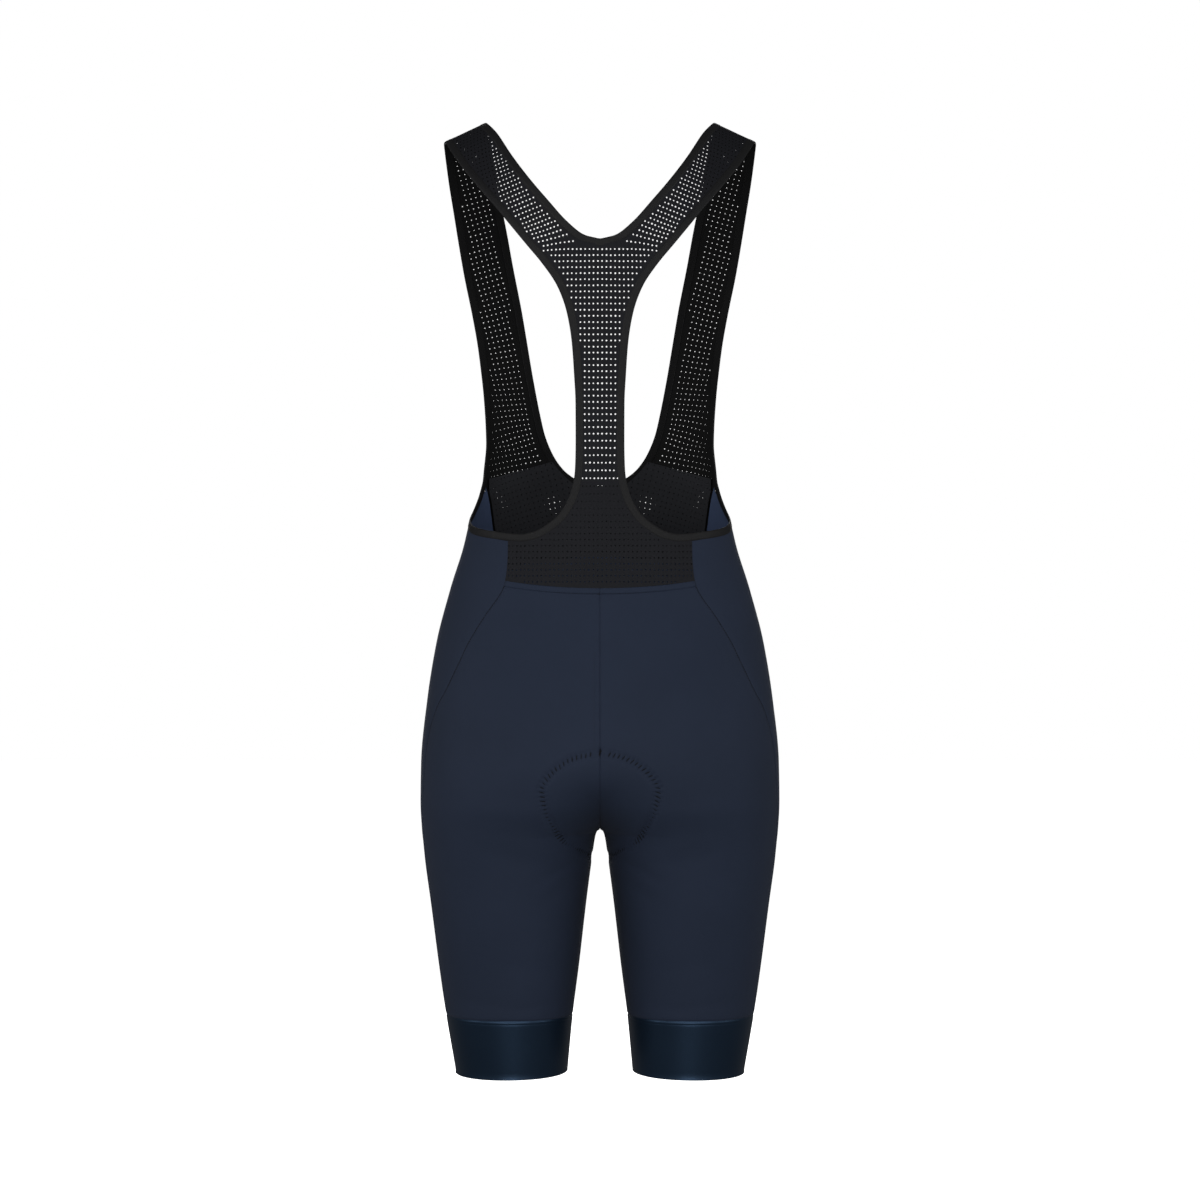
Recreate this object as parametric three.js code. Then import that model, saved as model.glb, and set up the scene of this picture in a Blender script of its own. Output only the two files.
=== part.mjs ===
// Cycling bib shorts in their worn, hollow form, in millimetres.
// The wearer would face -Y, with the left side on +X and +Z up.
// The origin lies midway between the tops of the two shoulder straps.
import * as THREE from "three";

// Cloth walls, all measured inward from the garment's outer face
const KNIT_WALL = 1.6;
const NET_WALL = 1.2;
const CUFF_WALL = 2.0;
const TAPE_PROUD = 0.4;
const TAPE_DEPTH = 1.6;
const LINING_TOP = 2.3;
const LINING_WALL = 1.0;
const TAPE_WIDTH = 7.5;
const SEAM_GAP = 0.3;
const HALF_GAP = SEAM_GAP / 2;

// Heights of the main lines
const CROTCH_Z = -668;
const CUFF_SEAM_Z = -845;
const HEM_Z = -898;
const HEM_DROP = 4;
const HEM_DROP_TURN = 65;
const LEVEL_Z = -460;

// How the two halves of the seat and of the belly join above the crotch
const BACK_JOIN = 95;
const FRONT_JOIN = 90;
const JOIN_DIMPLE = 0.004;
const FULL_MIDDLE = 66;
const SOFT_WIDTH = 40;
const SOFT_START = 8;
const SOFT_HEIGHT = 70;

// Half sections of the shorts. side and inner are distances from the mid-plane, back and front are
// depths from the ring's own centre, middle and centre place that centre, square rounds its corners.
const RINGS = [
  { z: -230, side: 121, inner: 0.2, back: 93, front: 101, middle: 0, centre: 0, square: 3.0 },
  { z: -298, side: 118.5, inner: 0.2, back: 87, front: 97, middle: 0, centre: 0, square: 2.8 },
  { z: -345, side: 121, inner: 0.2, back: 85.5, front: 95, middle: 0, centre: 0, square: 2.4 },
  { z: -392, side: 129.5, inner: 0.2, back: 87.5, front: 95.5, middle: 0, centre: 0, square: 2.2 },
  { z: -438, side: 143.5, inner: 0.2, back: 92, front: 97, middle: 0, centre: 0, square: 2.15 },
  { z: -488, side: 156.5, inner: 0.2, back: 103, front: 98, middle: 14, centre: 2, square: 2.15 },
  { z: -545, side: 165.5, inner: 0.2, back: 116, front: 96, middle: 40, centre: 6, square: 2.12 },
  { z: -603, side: 171, inner: 0.2, back: 121, front: 92, middle: 66, centre: 10, square: 2.1 },
  { z: -641, side: 171.5, inner: 0.2, back: 115, front: 87, middle: 80, centre: 11, square: 2.1 },
  { z: -668, side: 170.2, inner: 0.2, back: 106.5, front: 83, middle: 85.5, centre: 10, square: 2.1 },
  { z: -680, side: 169, inner: 5.3, back: 103.5, front: 81.6, middle: 86.6, centre: 9.4, square: 2.1 },
  { z: -700, side: 167, inner: 8.2, back: 99, front: 79, middle: 87.5, centre: 8.4, square: 2.1 },
  { z: -737, side: 162, inner: 13, back: 92, front: 76, middle: 87.5, centre: 7, square: 2.1 },
  { z: -795, side: 154.6, inner: 19.7, back: 80, front: 70, middle: 87.2, centre: 5, square: 2.1 },
  { z: -845, side: 147.5, inner: 26, back: 71, front: 65, middle: 86.8, centre: 3.4, square: 2.1 },
  { z: -898, side: 138.5, inner: 31, back: 62, front: 58, middle: 84.8, centre: 2, square: 2.1 },
];

// The seams between the side panels and the back and front. x is the distance from the mid-plane,
// and turn is the angle in degrees from the side of the section.
const BACK_SEAM = [
  { z: -386, x: 86.5 },
  { z: -431, x: 89 },
  { z: -466, x: 110 },
  { z: -493, x: 126 },
  { z: -509, x: 133.5 },
  { z: -534, x: 145.6 },
  { z: -551, x: 154.6 },
  { z: -573, x: 161.4 },
  { z: -593, x: 164.6 },
  { z: -640, turn: 18 },
  { z: -740, turn: 12 },
  { z: -845, turn: 8 },
];
const FRONT_SEAM = [
  { z: -335, x: 114 },
  { z: -345, x: 111 },
  { z: -380, x: 105.7 },
  { z: -415, x: 101 },
  { z: -433, turn: 44 },
  { z: -493, turn: 38 },
  { z: -560, turn: 24 },
  { z: -600, turn: 20 },
  { z: -650, turn: 18 },
  { z: -740, turn: 14 },
  { z: -845, turn: 10 },
];

// The armhole's edge on the side panel, from the back seam (0) to the front seam (1)
const ARMHOLE = [
  { share: 0, z: -386 },
  { share: 0.27, z: -381 },
  { share: 0.59, z: -369.5 },
  { share: 0.7, z: -364 },
  { share: 0.83, z: -352 },
  { share: 0.93, z: -341 },
  { share: 1, z: -335 },
];

// Rows of the back net on the left half, from the side seam over the back and up the strap. Each
// runs from the armhole's edge to the waist seam, the mid-plane or the neck's edge, and body says
// how much of its depth comes from the sections above.
const BACK_ROWS = [
  { outer: [86.5, 64, -386], inner: [89, 70, -431], body: 1 },
  { outer: [74.6, 70.5, -387], inner: [68, 80, -434], body: 1 },
  { outer: [61.3, 76, -384.5], inner: [46, 87, -436], body: 1 },
  { outer: [48.4, 80, -377], inner: [23, 91, -437.5], body: 1 },
  { outer: [39.4, 82, -369.5], inner: [0, 92, -438], body: 1 },
  { outer: [30.9, 83.5, -356.6], inner: [0, 88.5, -408], body: 1 },
  { outer: [26.1, 84, -343.5], inner: [0, 86.5, -380], body: 0.8 },
  { outer: [23.5, 84.5, -327], inner: [0, 86, -350], body: 0.4 },
  { outer: [22.9, 86, -300], inner: [0, 87.5, -312], body: 0 },
  { outer: [23, 89, -265], inner: [0, 90.5, -270], body: 0 },
  { outer: [24.3, 91.5, -239], inner: [0, 93.5, -239], body: 0 },
  { outer: [26.5, 94, -208], inner: [0, 96, -205], body: 0 },
  { outer: [31, 95.5, -181], inner: [0, 98, -172], body: 0 },
  { outer: [39.5, 96, -157], inner: [0, 99, -142], body: 0 },
  { outer: [54, 95, -135], inner: [0, 99, -113], body: 0 },
  { outer: [68, 93, -118], inner: [14, 99, -109], body: 0 },
  { outer: [81, 89, -102], inner: [30.5, 97.5, -96], body: 0 },
  { outer: [97, 81, -82], inner: [48, 92, -76], body: 0 },
  { outer: [115, 67, -60], inner: [66, 82, -54], body: 0 },
  { outer: [131, 47, -39], inner: [83, 64, -30], body: 0 },
  { outer: [143, 24, -20], inner: [99, 38, -4], body: 0 },
  { outer: [149, 6, -10], inner: [109, 10, 8], body: 0 },
  { outer: [150.5, -8, -10], inner: [110, -6, 9], body: 0 },
];
const BACK_NECK_ROW = 14;
const BACK_WAIST_ROW = 4;

// Rows of the front net on the left half. All run to the neck's edge: first from the armhole's
// edge, then from the side seam, and last from the waist seam, where no outer end is listed.
const FRONT_ROWS = [
  { outer: [150.5, -8, -10], inner: [110, -6, 9], body: 0 },
  { outer: [149.5, -24, -22], inner: [108, -20, -3], body: 0 },
  { outer: [147, -42, -44], inner: [104, -37, -26], body: 0 },
  { outer: [143, -58, -71], inner: [98.5, -56, -54], body: 0 },
  { outer: [138.5, -70, -101], inner: [92, -75, -86], body: 0 },
  { outer: [133.5, -78, -131], inner: [86, -89, -120], body: 0 },
  { outer: [126, -83, -168], inner: [77.5, -99, -164], body: 0 },
  { outer: [120.8, -84, -197], inner: [72, -102, -197], body: 0 },
  { outer: [116.8, -80, -227], inner: [66.5, -102, -230], body: 0 },
  { outer: [113.5, -71, -256], inner: [60, -100, -264], body: 0.3 },
  { outer: [111.6, -61, -280], inner: [54.5, -99, -287], body: 0.8 },
  { outer: [111, -52, -298], inner: [48.5, -98, -302], body: 1 },
  { outer: [112, -46, -312], inner: [44, -97, -310.5], body: 1 },
  { outer: [113, -42, -322], inner: [40.5, -97, -315.5], body: 1 },
  { outer: [114, -41, -335], inner: [36, -96.5, -321], body: 1 },
  { inner: [29.5, -96, -326.5], body: 1 },
  { inner: [22, -95.5, -331], body: 1 },
  { inner: [14, -95, -334.4], body: 1 },
  { inner: [7, -95, -336], body: 1 },
  { inner: [0, -95, -336.5], body: 1 },
];
const FRONT_SEAM_ROW = 14;
const FRONT_WAIST_ROW = 16;
const FRONT_LAST_ROW = FRONT_ROWS.length - 1;

// The inner layer of front net: its top edge leaves the neck tape and slants down to the side
const LINING_LEFT_TOP = { x: 108, z: -340 };
const LINING_NECK_TOP = { x: 47, z: -318 };
const LINING_SIDE_MARGIN = 1.5;

// The seat pad, row by row along the mid-line from its back end, through the crotch, to its front
// end. side is +1 behind the inside leg seam and -1 in front. Each row runs from the mid-line at
// height z to the pad's edge at edgeZ, which edgeArc or, near the crotch, edgeY places.
const PAD_ROWS = [
  { side: 1, z: -590, edgeZ: -590, edgeArc: 0 },
  { side: 1, z: -594, edgeZ: -595, edgeArc: 22 },
  { side: 1, z: -606, edgeZ: -607, edgeArc: 42 },
  { side: 1, z: -622, edgeZ: -625, edgeArc: 54 },
  { side: 1, z: -636, edgeZ: -645, edgeArc: 56 },
  { side: 1, z: -648, edgeZ: -662, edgeY: 108 },
  { side: 1, z: -658, edgeZ: -676, edgeY: 90 },
  { side: 1, z: -664, edgeZ: -686, edgeY: 62 },
  { side: 1, z: -667, edgeZ: -692, edgeY: 34 },
  { side: 0, z: -668, edgeZ: -694, edgeArc: 0 },
  { side: -1, z: -667, edgeZ: -692, edgeY: -14 },
  { side: -1, z: -664, edgeZ: -686, edgeY: -34 },
  { side: -1, z: -658, edgeZ: -674, edgeY: -50 },
  { side: -1, z: -646, edgeZ: -658, edgeArc: 40 },
  { side: -1, z: -628, edgeZ: -632, edgeArc: 40 },
  { side: -1, z: -610, edgeZ: -611, edgeArc: 34 },
  { side: -1, z: -594, edgeZ: -595, edgeArc: 20 },
  { side: -1, z: -588, edgeZ: -588, edgeArc: 0 },
];
const PAD_CLEARANCE = 2.6;
const PAD_CROTCH_CLEARANCE = 6;
const PAD_CROTCH_HEIGHT = 28;
const PAD_CROTCH_START = 1.5;
const PAD_CROTCH_EASE = 0.3;
const PAD_EDGE = 1.5;
const PAD_MIDDLE = 6;
const PAD_COLUMNS = 6;

// Heights of the shorts' rows below the level line, closer together round the crotch
const SHORTS_ROWS = [
  -490, -520, -550, -580, -605, -625, -640, -650, -658, -663, -666.5, -668, -670, -675, -685,
  -705, -735, -770, -805,
];
const BACK_COLUMNS = 11;
const FRONT_COLUMNS = 10;
const SIDE_COLUMNS = 7;
const CUFF_COLUMNS = 30;
const BIB_COLUMNS = 6;

// Heights of one row between the waist seams and the level line, at the two edges of each panel
const WAIST_ROW = { backMiddle: -449, backSide: -445, frontSide: -437, frontMiddle: -434 };
const CUFF_ROW_DROPS = [16, 34];
const LINING_ROWS = 5;
const LINING_COLUMNS = 8;

// Colours as the photo shows them
const NAVY = { color: 0x242a38, roughness: 0.85, metalness: 0 };
const SATIN = { color: 0x1c2532, roughness: 0.5, metalness: 0 };
const NET = { color: 0x1a1b20, roughness: 0.8, metalness: 0 };
const LINING = { color: 0x19191e, roughness: 0.85, metalness: 0 };
const TAPE = { color: 0x1c1b1c, roughness: 0.6, metalness: 0 };
const PAD = { color: 0x2a3040, roughness: 0.9, metalness: 0 };

const mix = (a, b, share) => a + (b - a) * share;
const degrees = (angle) => (angle * Math.PI) / 180;

function smoothStep(value) {
  const share = Math.min(Math.max(value, 0), 1);
  return share * share * (3 - 2 * share);
}

// A smooth curve through a table's values that never overshoots between its rows
function curveThrough(places, values) {
  const last = places.length - 1;
  const slopes = places.slice(1).map((place, i) => (values[i + 1] - values[i]) / (place - places[i]));
  const tangents = values.map((_, i) => {
    if (i === 0) return slopes[0];
    if (i === last) return slopes[last - 1];
    if (slopes[i - 1] * slopes[i] <= 0) return 0;
    return 2 / (1 / slopes[i - 1] + 1 / slopes[i]);
  });
  return (place) => {
    const at = Math.min(Math.max(place, places[0]), places[last]);
    const i = Math.min(places.findLastIndex((start) => start <= at), last - 1);
    const step = places[i + 1] - places[i];
    const t = (at - places[i]) / step;
    const bend = t * t * (3 - 2 * t);
    const leave = step * tangents[i] * t * (1 - t) * (1 - t);
    const arrive = step * tangents[i + 1] * t * t * (t - 1);
    return mix(values[i], values[i + 1], bend) + leave + arrive;
  };
}

function column(table, by, name) {
  const rows = [...table].sort((a, b) => a[by] - b[by]);
  return curveThrough(rows.map((row) => row[by]), rows.map((row) => row[name]));
}

const ring = Object.fromEntries(
  ["side", "inner", "back", "front", "middle", "centre", "square"].map((name) => [
    name,
    column(RINGS, "z", name),
  ]),
);

// One half of a section, behind (+1) or in front (-1) of its centre
function halfSection(z, sign) {
  const square = ring.square(z);
  const middle = Math.max(ring.middle(z), HALF_GAP);
  const outward = ring.side(z) - middle;
  const depth = sign > 0 ? ring.back(z) : ring.front(z);
  const height = sign > 0 ? BACK_JOIN : FRONT_JOIN;
  const above = Math.min(Math.max((z - CROTCH_Z) / height, 0), 1);
  const dimple = (JOIN_DIMPLE * middle) / FULL_MIDDLE;
  const joined = Math.min(Math.sqrt(1 - (1 - above) ** 3), 1 - dimple);
  const rest = (1 - joined ** square) ** (1 / square);
  const inward = z > CROTCH_Z ? (middle - HALF_GAP) / rest : middle - ring.inner(z);
  const soft = Math.min(SOFT_WIDTH, middle) * smoothStep((z - CROTCH_Z - SOFT_START) / SOFT_HEIGHT);

  const plain = (x) => {
    const reach = x > middle ? outward : Math.max(inward, HALF_GAP);
    const share = Math.min(Math.abs(x - middle) / reach, 1);
    return depth * (1 - share ** square) ** (1 / square);
  };
  const softened = (x) => {
    const slope = plain(soft + HALF_GAP) - plain(soft - HALF_GAP);
    return plain(soft) - ((slope / SEAM_GAP) * (soft * soft - x * x)) / (2 * soft);
  };
  const depthAt = (x) => sign * (x < soft ? softened(x) : plain(x));
  const pointAt = (turn) => {
    const along = Math.cos(turn);
    const across = Math.sin(turn);
    const size = (Math.abs(along) ** square + across ** square) ** (-1 / square);
    const x = middle + (along > 0 ? outward : inward) * along * size;
    const y = x < soft ? depthAt(x) : sign * depth * across * size;
    return [x, ring.centre(z) + y];
  };
  return { depthAt, pointAt, end: Math.PI - Math.atan2(joined, rest) };
}

// A whole section of one half, measured by arc length from the back's mid-line, or from the
// inside of the leg, round the side to the front's
const STEPS = 64;
const sections = new Map();
function section(z) {
  if (sections.has(z)) return sections.get(z);
  const back = halfSection(z, 1);
  const front = halfSection(z, -1);
  const turns = [];
  for (let i = 0; i <= 2 * STEPS; i += 1) turns.push(back.end * (1 - i / (2 * STEPS)));
  for (let i = 1; i <= 2 * STEPS; i += 1) turns.push((-front.end * i) / (2 * STEPS));
  const points = turns.map((turn) => (turn >= 0 ? back.pointAt(turn) : front.pointAt(-turn)));
  const arcs = [0];
  for (let i = 1; i < points.length; i += 1) {
    const [x, y] = points[i];
    arcs.push(arcs[i - 1] + Math.hypot(x - points[i - 1][0], y - points[i - 1][1]));
  }
  const total = arcs[arcs.length - 1];
  const at = (arc) => {
    if (z > CROTCH_Z && (arc < 0 || arc > total)) {
      const [x, y] = at(arc < 0 ? -arc : 2 * total - arc);
      return [SEAM_GAP - x, y];
    }
    const wanted = arc < 0 ? arc + total : arc > total ? arc - total : arc;
    const i = Math.min(Math.max(arcs.findIndex((end) => end >= wanted), 1), arcs.length - 1);
    const share = (wanted - arcs[i - 1]) / (arcs[i] - arcs[i - 1]);
    return [mix(points[i - 1][0], points[i][0], share), mix(points[i - 1][1], points[i][1], share)];
  };
  const arcOfTurn = (turn) => {
    const i = Math.min(Math.max(turns.findIndex((end) => end <= turn), 1), turns.length - 1);
    return mix(arcs[i - 1], arcs[i], (turn - turns[i - 1]) / (turns[i] - turns[i - 1]));
  };
  const made = { total, at, arcOfTurn };
  sections.set(z, made);
  return made;
}

// The shorts' outer face by height and arc, and its outward direction
const REACH = 2;
function onShorts(z, arc) {
  const [x, y] = section(z).at(arc);
  return new THREE.Vector3(x, y, z);
}

function shortsCorner(z, arc, out, depth) {
  const share = arc / section(z).total;
  const along = onShorts(z, arc + REACH).sub(onShorts(z, arc - REACH));
  const low = onShorts(z - REACH, share * section(z - REACH).total);
  const up = onShorts(z + REACH, share * section(z + REACH).total).sub(low);
  return { point: onShorts(z, arc), normal: up.cross(along).normalize(), out, depth };
}

// A side seam as an arc by height, from a table that gives x or turn
function seam(table, sign) {
  const rows = table.map((row) => {
    if (row.turn !== undefined) return { z: row.z, turn: sign * degrees(row.turn) };
    const square = ring.square(row.z);
    const middle = ring.middle(row.z);
    const along = (row.x - middle) / (ring.side(row.z) - middle);
    const across = (1 - along ** square) ** (1 / square);
    return { z: row.z, turn: sign * Math.atan2(across, along) };
  });
  const turnAt = column(rows, "z", "turn");
  return (z) => section(z).arcOfTurn(turnAt(z));
}

const backSeam = seam(BACK_SEAM, 1);
const frontSeam = seam(FRONT_SEAM, -1);
const armholeZ = column(ARMHOLE, "share", "z");

// The waist seams' heights by distance from the mid-plane
const BACK_WAIST = { middle: -438, side: -431, x: 89, power: 2 };
const FRONT_WAIST = { middle: -404, side: -415, x: 101, power: 1.12 };
function waistZ(waist, x) {
  return waist.middle + (waist.side - waist.middle) * (Math.abs(x) / waist.x) ** waist.power;
}

const lastOf = (rows) => rows.length - 1;

function edgeCurves(rows, name) {
  const listed = rows.filter((row) => row[name]);
  const places = listed.map((_, i) => i);
  const axes = [0, 1, 2].map((axis) => curveThrough(places, listed.map((row) => row[name][axis])));
  return (row) => axes.map((axis) => axis(row));
}

// Steps for a net's directions and for its lengths, by row and by share
const ROW_STEP = 0.04;
const SHARE_STEP = 0.02;
const SPEED_STEP = 0.01;

// A net sheet's outer face by row and share, from its outer edge (0) to its inner edge (1)
function netSheet({ rows, sign, outerAt, innerAt, shiftX, centred, beyond }) {
  const body = curveThrough(rows.map((_, i) => i), rows.map((row) => row.body));
  const pointAt = (row, share) => {
    const outer = outerAt(row);
    const inner = innerAt(row);
    const z = mix(outer[2], inner[2], share);
    const x = mix(outer[0], inner[0], share) + shiftX(row, share, z);
    const eased = mix(share, 1 - (1 - share) ** 2, centred(row));
    const held = mix(outer[1], inner[1], eased);
    const onBody = ring.centre(z) + halfSection(z, sign).depthAt(Math.max(Math.abs(x), HALF_GAP));
    return new THREE.Vector3(x, mix(held, onBody, body(row)), z);
  };
  const last = lastOf(rows);
  const cornerAt = (row, share, out, depth) => {
    const up = beyond(pointAt, row + ROW_STEP, share).sub(beyond(pointAt, row - ROW_STEP, share));
    const inward = beyond(pointAt, row, share + SHARE_STEP);
    const across = inward.sub(beyond(pointAt, row, share - SHARE_STEP));
    const normal = across.cross(up).normalize();
    const point = pointAt(row, share);
    if (point.x < HALF_GAP) {
      point.setX(0);
      normal.setX(0).normalize();
    }
    return { point, normal, out, depth };
  };
  const rowSpeed = (row, share) => {
    const other = row > 1 ? row - SPEED_STEP : row + SPEED_STEP;
    return pointAt(row, share).distanceTo(pointAt(other, share)) / SPEED_STEP;
  };
  const shareSpeed = (row) => pointAt(row, 0).distanceTo(pointAt(row, SPEED_STEP)) / SPEED_STEP;
  return { pointAt, cornerAt, rowSpeed, shareSpeed, last };
}

const backOuter = edgeCurves(BACK_ROWS, "outer");
const backInner = edgeCurves(BACK_ROWS, "inner");
const backNet = netSheet({
  rows: BACK_ROWS,
  sign: 1,
  outerAt: backOuter,
  innerAt: (row) => {
    const [x, y, z] = backInner(row);
    return [x, y, row <= BACK_WAIST_ROW ? waistZ(BACK_WAIST, x) : z];
  },
  shiftX: (row, share, z) => {
    if (row >= 1) return 0;
    const chord = mix(BACK_ROWS[0].outer[0], BACK_ROWS[0].inner[0], share);
    return (1 - row) * (section(z).at(backSeam(z))[0] - chord);
  },
  centred: (row) => 1 - smoothStep(row - BACK_NECK_ROW),
  beyond: (pointAt, row, share) => {
    if (row > lastOf(BACK_ROWS)) return frontNet.pointAt(row - lastOf(BACK_ROWS), share);
    const kept = Math.max(row, 0);
    if (share <= 1 || backInner(kept)[0] > 0) return pointAt(kept, share);
    const point = pointAt(kept, 2 - share);
    return point.setX(-point.x);
  },
});

const frontOuter = edgeCurves(FRONT_ROWS, "outer");
const frontInner = edgeCurves(FRONT_ROWS, "inner");
const frontNet = netSheet({
  rows: FRONT_ROWS,
  sign: -1,
  outerAt: (row) => {
    if (row <= FRONT_SEAM_ROW) return frontOuter(row);
    if (row <= FRONT_WAIST_ROW) {
      const down = (row - FRONT_SEAM_ROW) / (FRONT_WAIST_ROW - FRONT_SEAM_ROW);
      const z = mix(FRONT_SEAM[0].z, FRONT_WAIST.side, down);
      return [...section(z).at(frontSeam(z)), z];
    }
    const x = (FRONT_WAIST.x * (FRONT_LAST_ROW - row)) / (FRONT_LAST_ROW - FRONT_WAIST_ROW);
    return [x, 0, waistZ(FRONT_WAIST, x)];
  },
  innerAt: frontInner,
  shiftX: () => 0,
  centred: () => 0,
  beyond: (pointAt, row, share) => {
    if (row < 0) return backNet.pointAt(backNet.last + row, share);
    if (row <= FRONT_LAST_ROW) return pointAt(row, share);
    const point = pointAt(2 * FRONT_LAST_ROW - row, share);
    return point.setX(-point.x);
  },
});

// The armhole's edge and the neck's edge on the left half, as fine chains of points
const CHAIN = 12;
function chain(pointAt, from, to) {
  const steps = Math.ceil(Math.abs(to - from) * CHAIN);
  return Array.from({ length: steps + 1 }, (_, i) => pointAt(mix(from, to, i / steps)));
}

function sideArc(share, z) {
  return mix(backSeam(z), frontSeam(z), share);
}

const SIDE_CHAIN = 8;
function onFlank(step) {
  const share = step / SIDE_CHAIN;
  const z = armholeZ(share);
  return onShorts(z, sideArc(share, z));
}

const armholeEdge = [
  ...chain((row) => backNet.pointAt(row, 0), backNet.last, 0),
  ...chain(onFlank, 0, SIDE_CHAIN),
  ...chain((row) => frontNet.pointAt(row, 0), FRONT_SEAM_ROW, 0),
];
const neckLeft = [
  ...chain((row) => backNet.pointAt(row, 1), BACK_NECK_ROW, backNet.last),
  ...chain((row) => frontNet.pointAt(row, 1), 0, FRONT_LAST_ROW),
];
const neckRight = neckLeft.map((point) => new THREE.Vector3(-point.x, point.y, point.z));
const neckEdge = [...neckLeft, ...neckRight.reverse()];

function distanceTo(edge, point) {
  const line = new THREE.Line3();
  const near = new THREE.Vector3();
  let best = Infinity;
  for (let i = 1; i < edge.length; i += 1) {
    line.set(edge[i - 1], edge[i]);
    best = Math.min(best, line.closestPointToPoint(point, true, near).distanceTo(point));
  }
  return best;
}

// The share from 0 to 1 up to which a test holds, found by halving
const HALVINGS = 24;
function lastShare(holds) {
  let low = 0;
  let high = 1;
  for (let i = 0; i < HALVINGS; i += 1) {
    const half = (low + high) / 2;
    if (holds(half)) low = half;
    else high = half;
  }
  return high;
}

// How far along a path from its start, as a share, it lies the given distance from an edge
function insetShare(path, edge, distance) {
  return lastShare((share) => distanceTo(edge, path(share)) < distance);
}

const HALF_ROW = 0.6;
const armShare = (net, row, distance) =>
  HALF_ROW * insetShare((t) => net.pointAt(row, t * HALF_ROW), armholeEdge, distance);
const neckShare = (net, row, distance) =>
  1 - HALF_ROW * insetShare((t) => net.pointAt(row, 1 - t * HALF_ROW), neckEdge, distance);
// The row below the back neck, and the row past the armhole's front corner, where the sheet's own
// edge comes clear of a tape
const neckRowAt = (distance) => {
  const path = (t) => backNet.pointAt(BACK_NECK_ROW - t, 1);
  return BACK_NECK_ROW - insetShare(path, neckEdge, distance);
};
const cornerRowAt = (distance) => {
  const path = (t) => frontNet.pointAt(FRONT_SEAM_ROW + t, 0);
  return FRONT_SEAM_ROW + insetShare(path, armholeEdge, distance);
};

const SIDE_DROP = 24;
function sideDrop(share, distance) {
  const top = armholeZ(share);
  const path = (t) => onShorts(top - t * SIDE_DROP, sideArc(share, top - t * SIDE_DROP));
  return SIDE_DROP * insetShare(path, armholeEdge, distance);
}

// Cells between the rows of a grid of corners
function cellsOf(corners) {
  const cells = [];
  for (let r = 1; r < corners.length; r += 1) {
    for (let c = 1; c < corners[r].length; c += 1) {
      cells.push([corners[r - 1][c - 1], corners[r - 1][c], corners[r][c], corners[r][c - 1]]);
    }
  }
  return cells;
}

function gridCells(rows, columns, cornerAt) {
  const rowAt = (r) => Array.from({ length: columns + 1 }, (_, c) => cornerAt(r, c));
  return cellsOf(Array.from({ length: rows + 1 }, (_, r) => rowAt(r)));
}

const mirrorX = (vector) => new THREE.Vector3(-vector.x, vector.y, vector.z);
function mirrored(cells) {
  return cells.map((cell) =>
    cell.map((corner) => ({ ...corner, point: mirrorX(corner.point), normal: mirrorX(corner.normal) })),
  );
}

// A closed cloth wall over the cells: an outer face, an inner face and a rim round every open edge
const WELD = 1000;
function wallGeometry(cells) {
  const corners = [];
  const known = new Map();
  const indexOf = (corner) => {
    const key = corner.point.toArray().map((value) => Math.round(value * WELD) + 0).join();
    if (!known.has(key)) {
      known.set(key, corners.length);
      corners.push(corner);
    }
    return known.get(key);
  };
  const faces = [];
  for (const cell of cells) {
    const loop = cell.map(indexOf);
    const kept = loop.filter((at, i) => at !== loop[(i + 1) % loop.length]);
    for (let i = 2; i < kept.length; i += 1) faces.push([kept[0], kept[i - 1], kept[i]]);
  }
  const side = new THREE.Triangle();
  const facing = new THREE.Vector3();
  for (const face of faces) {
    side.set(...face.map((at) => corners[at].point));
    side.getNormal(facing);
    const agree = face.reduce((sum, at) => sum + facing.dot(corners[at].normal), 0);
    if (agree < 0) face.reverse();
  }
  const edges = new Set(faces.flatMap(([a, b, c]) => [[a, b], [b, c], [c, a]].map((pair) => pair.join())));
  const count = corners.length;
  const triangles = [];
  for (const [a, b, c] of faces) {
    triangles.push(a, b, c, a + count, c + count, b + count);
    for (const [from, to] of [[a, b], [b, c], [c, a]]) {
      if (edges.has([to, from].join())) continue;
      triangles.push(from, from + count, to, to, from + count, to + count);
    }
  }
  const outer = corners.map(({ point, normal, out }) => point.clone().addScaledVector(normal, out));
  const inner = corners.map(({ point, normal, depth }) => point.clone().addScaledVector(normal, -depth));
  const geometry = new THREE.BufferGeometry().setFromPoints([...outer, ...inner]);
  geometry.setIndex(triangles);
  geometry.computeVertexNormals();
  return geometry;
}

// A panel of the shorts between two seams. Its upper rows give each column's height by share.
function shortsPanel({ upper, bottom, columns, arcAt, wall }) {
  const rows = [...upper, ...[LEVEL_Z, ...SHORTS_ROWS, bottom].map((z) => () => z)];
  return gridCells(rows.length - 1, columns, (r, c) => {
    const share = c / columns;
    const z = rows[r](share);
    return shortsCorner(z, arcAt(share, z), 0, wall);
  });
}

const PANEL_FOOT = CUFF_SEAM_Z + HALF_GAP;
const startGap = (z) => (z > CROTCH_Z ? 0 : HALF_GAP);

// Arc from a side seam towards the mid-line, by share of the panel's width. Round the crotch the
// columns next to the seam keep their spacing, and those on the inside of the leg take up the rest.
const STEADY_SHARE = 0.55;
const STEADY_TOP = -625;
const STEADY_FOOT = -690;
const STEADY_END = -790;
function arcFromSeam(share, z, widthAt) {
  const width = widthAt(z);
  const ease = smoothStep((STEADY_FOOT - z) / (STEADY_FOOT - STEADY_END));
  const steady = z > STEADY_TOP ? width : mix(widthAt(STEADY_TOP), width, ease);
  if (share <= STEADY_SHARE) return share * steady;
  const rest = (share - STEADY_SHARE) / (1 - STEADY_SHARE);
  return mix(STEADY_SHARE * steady, width, rest);
}

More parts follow.
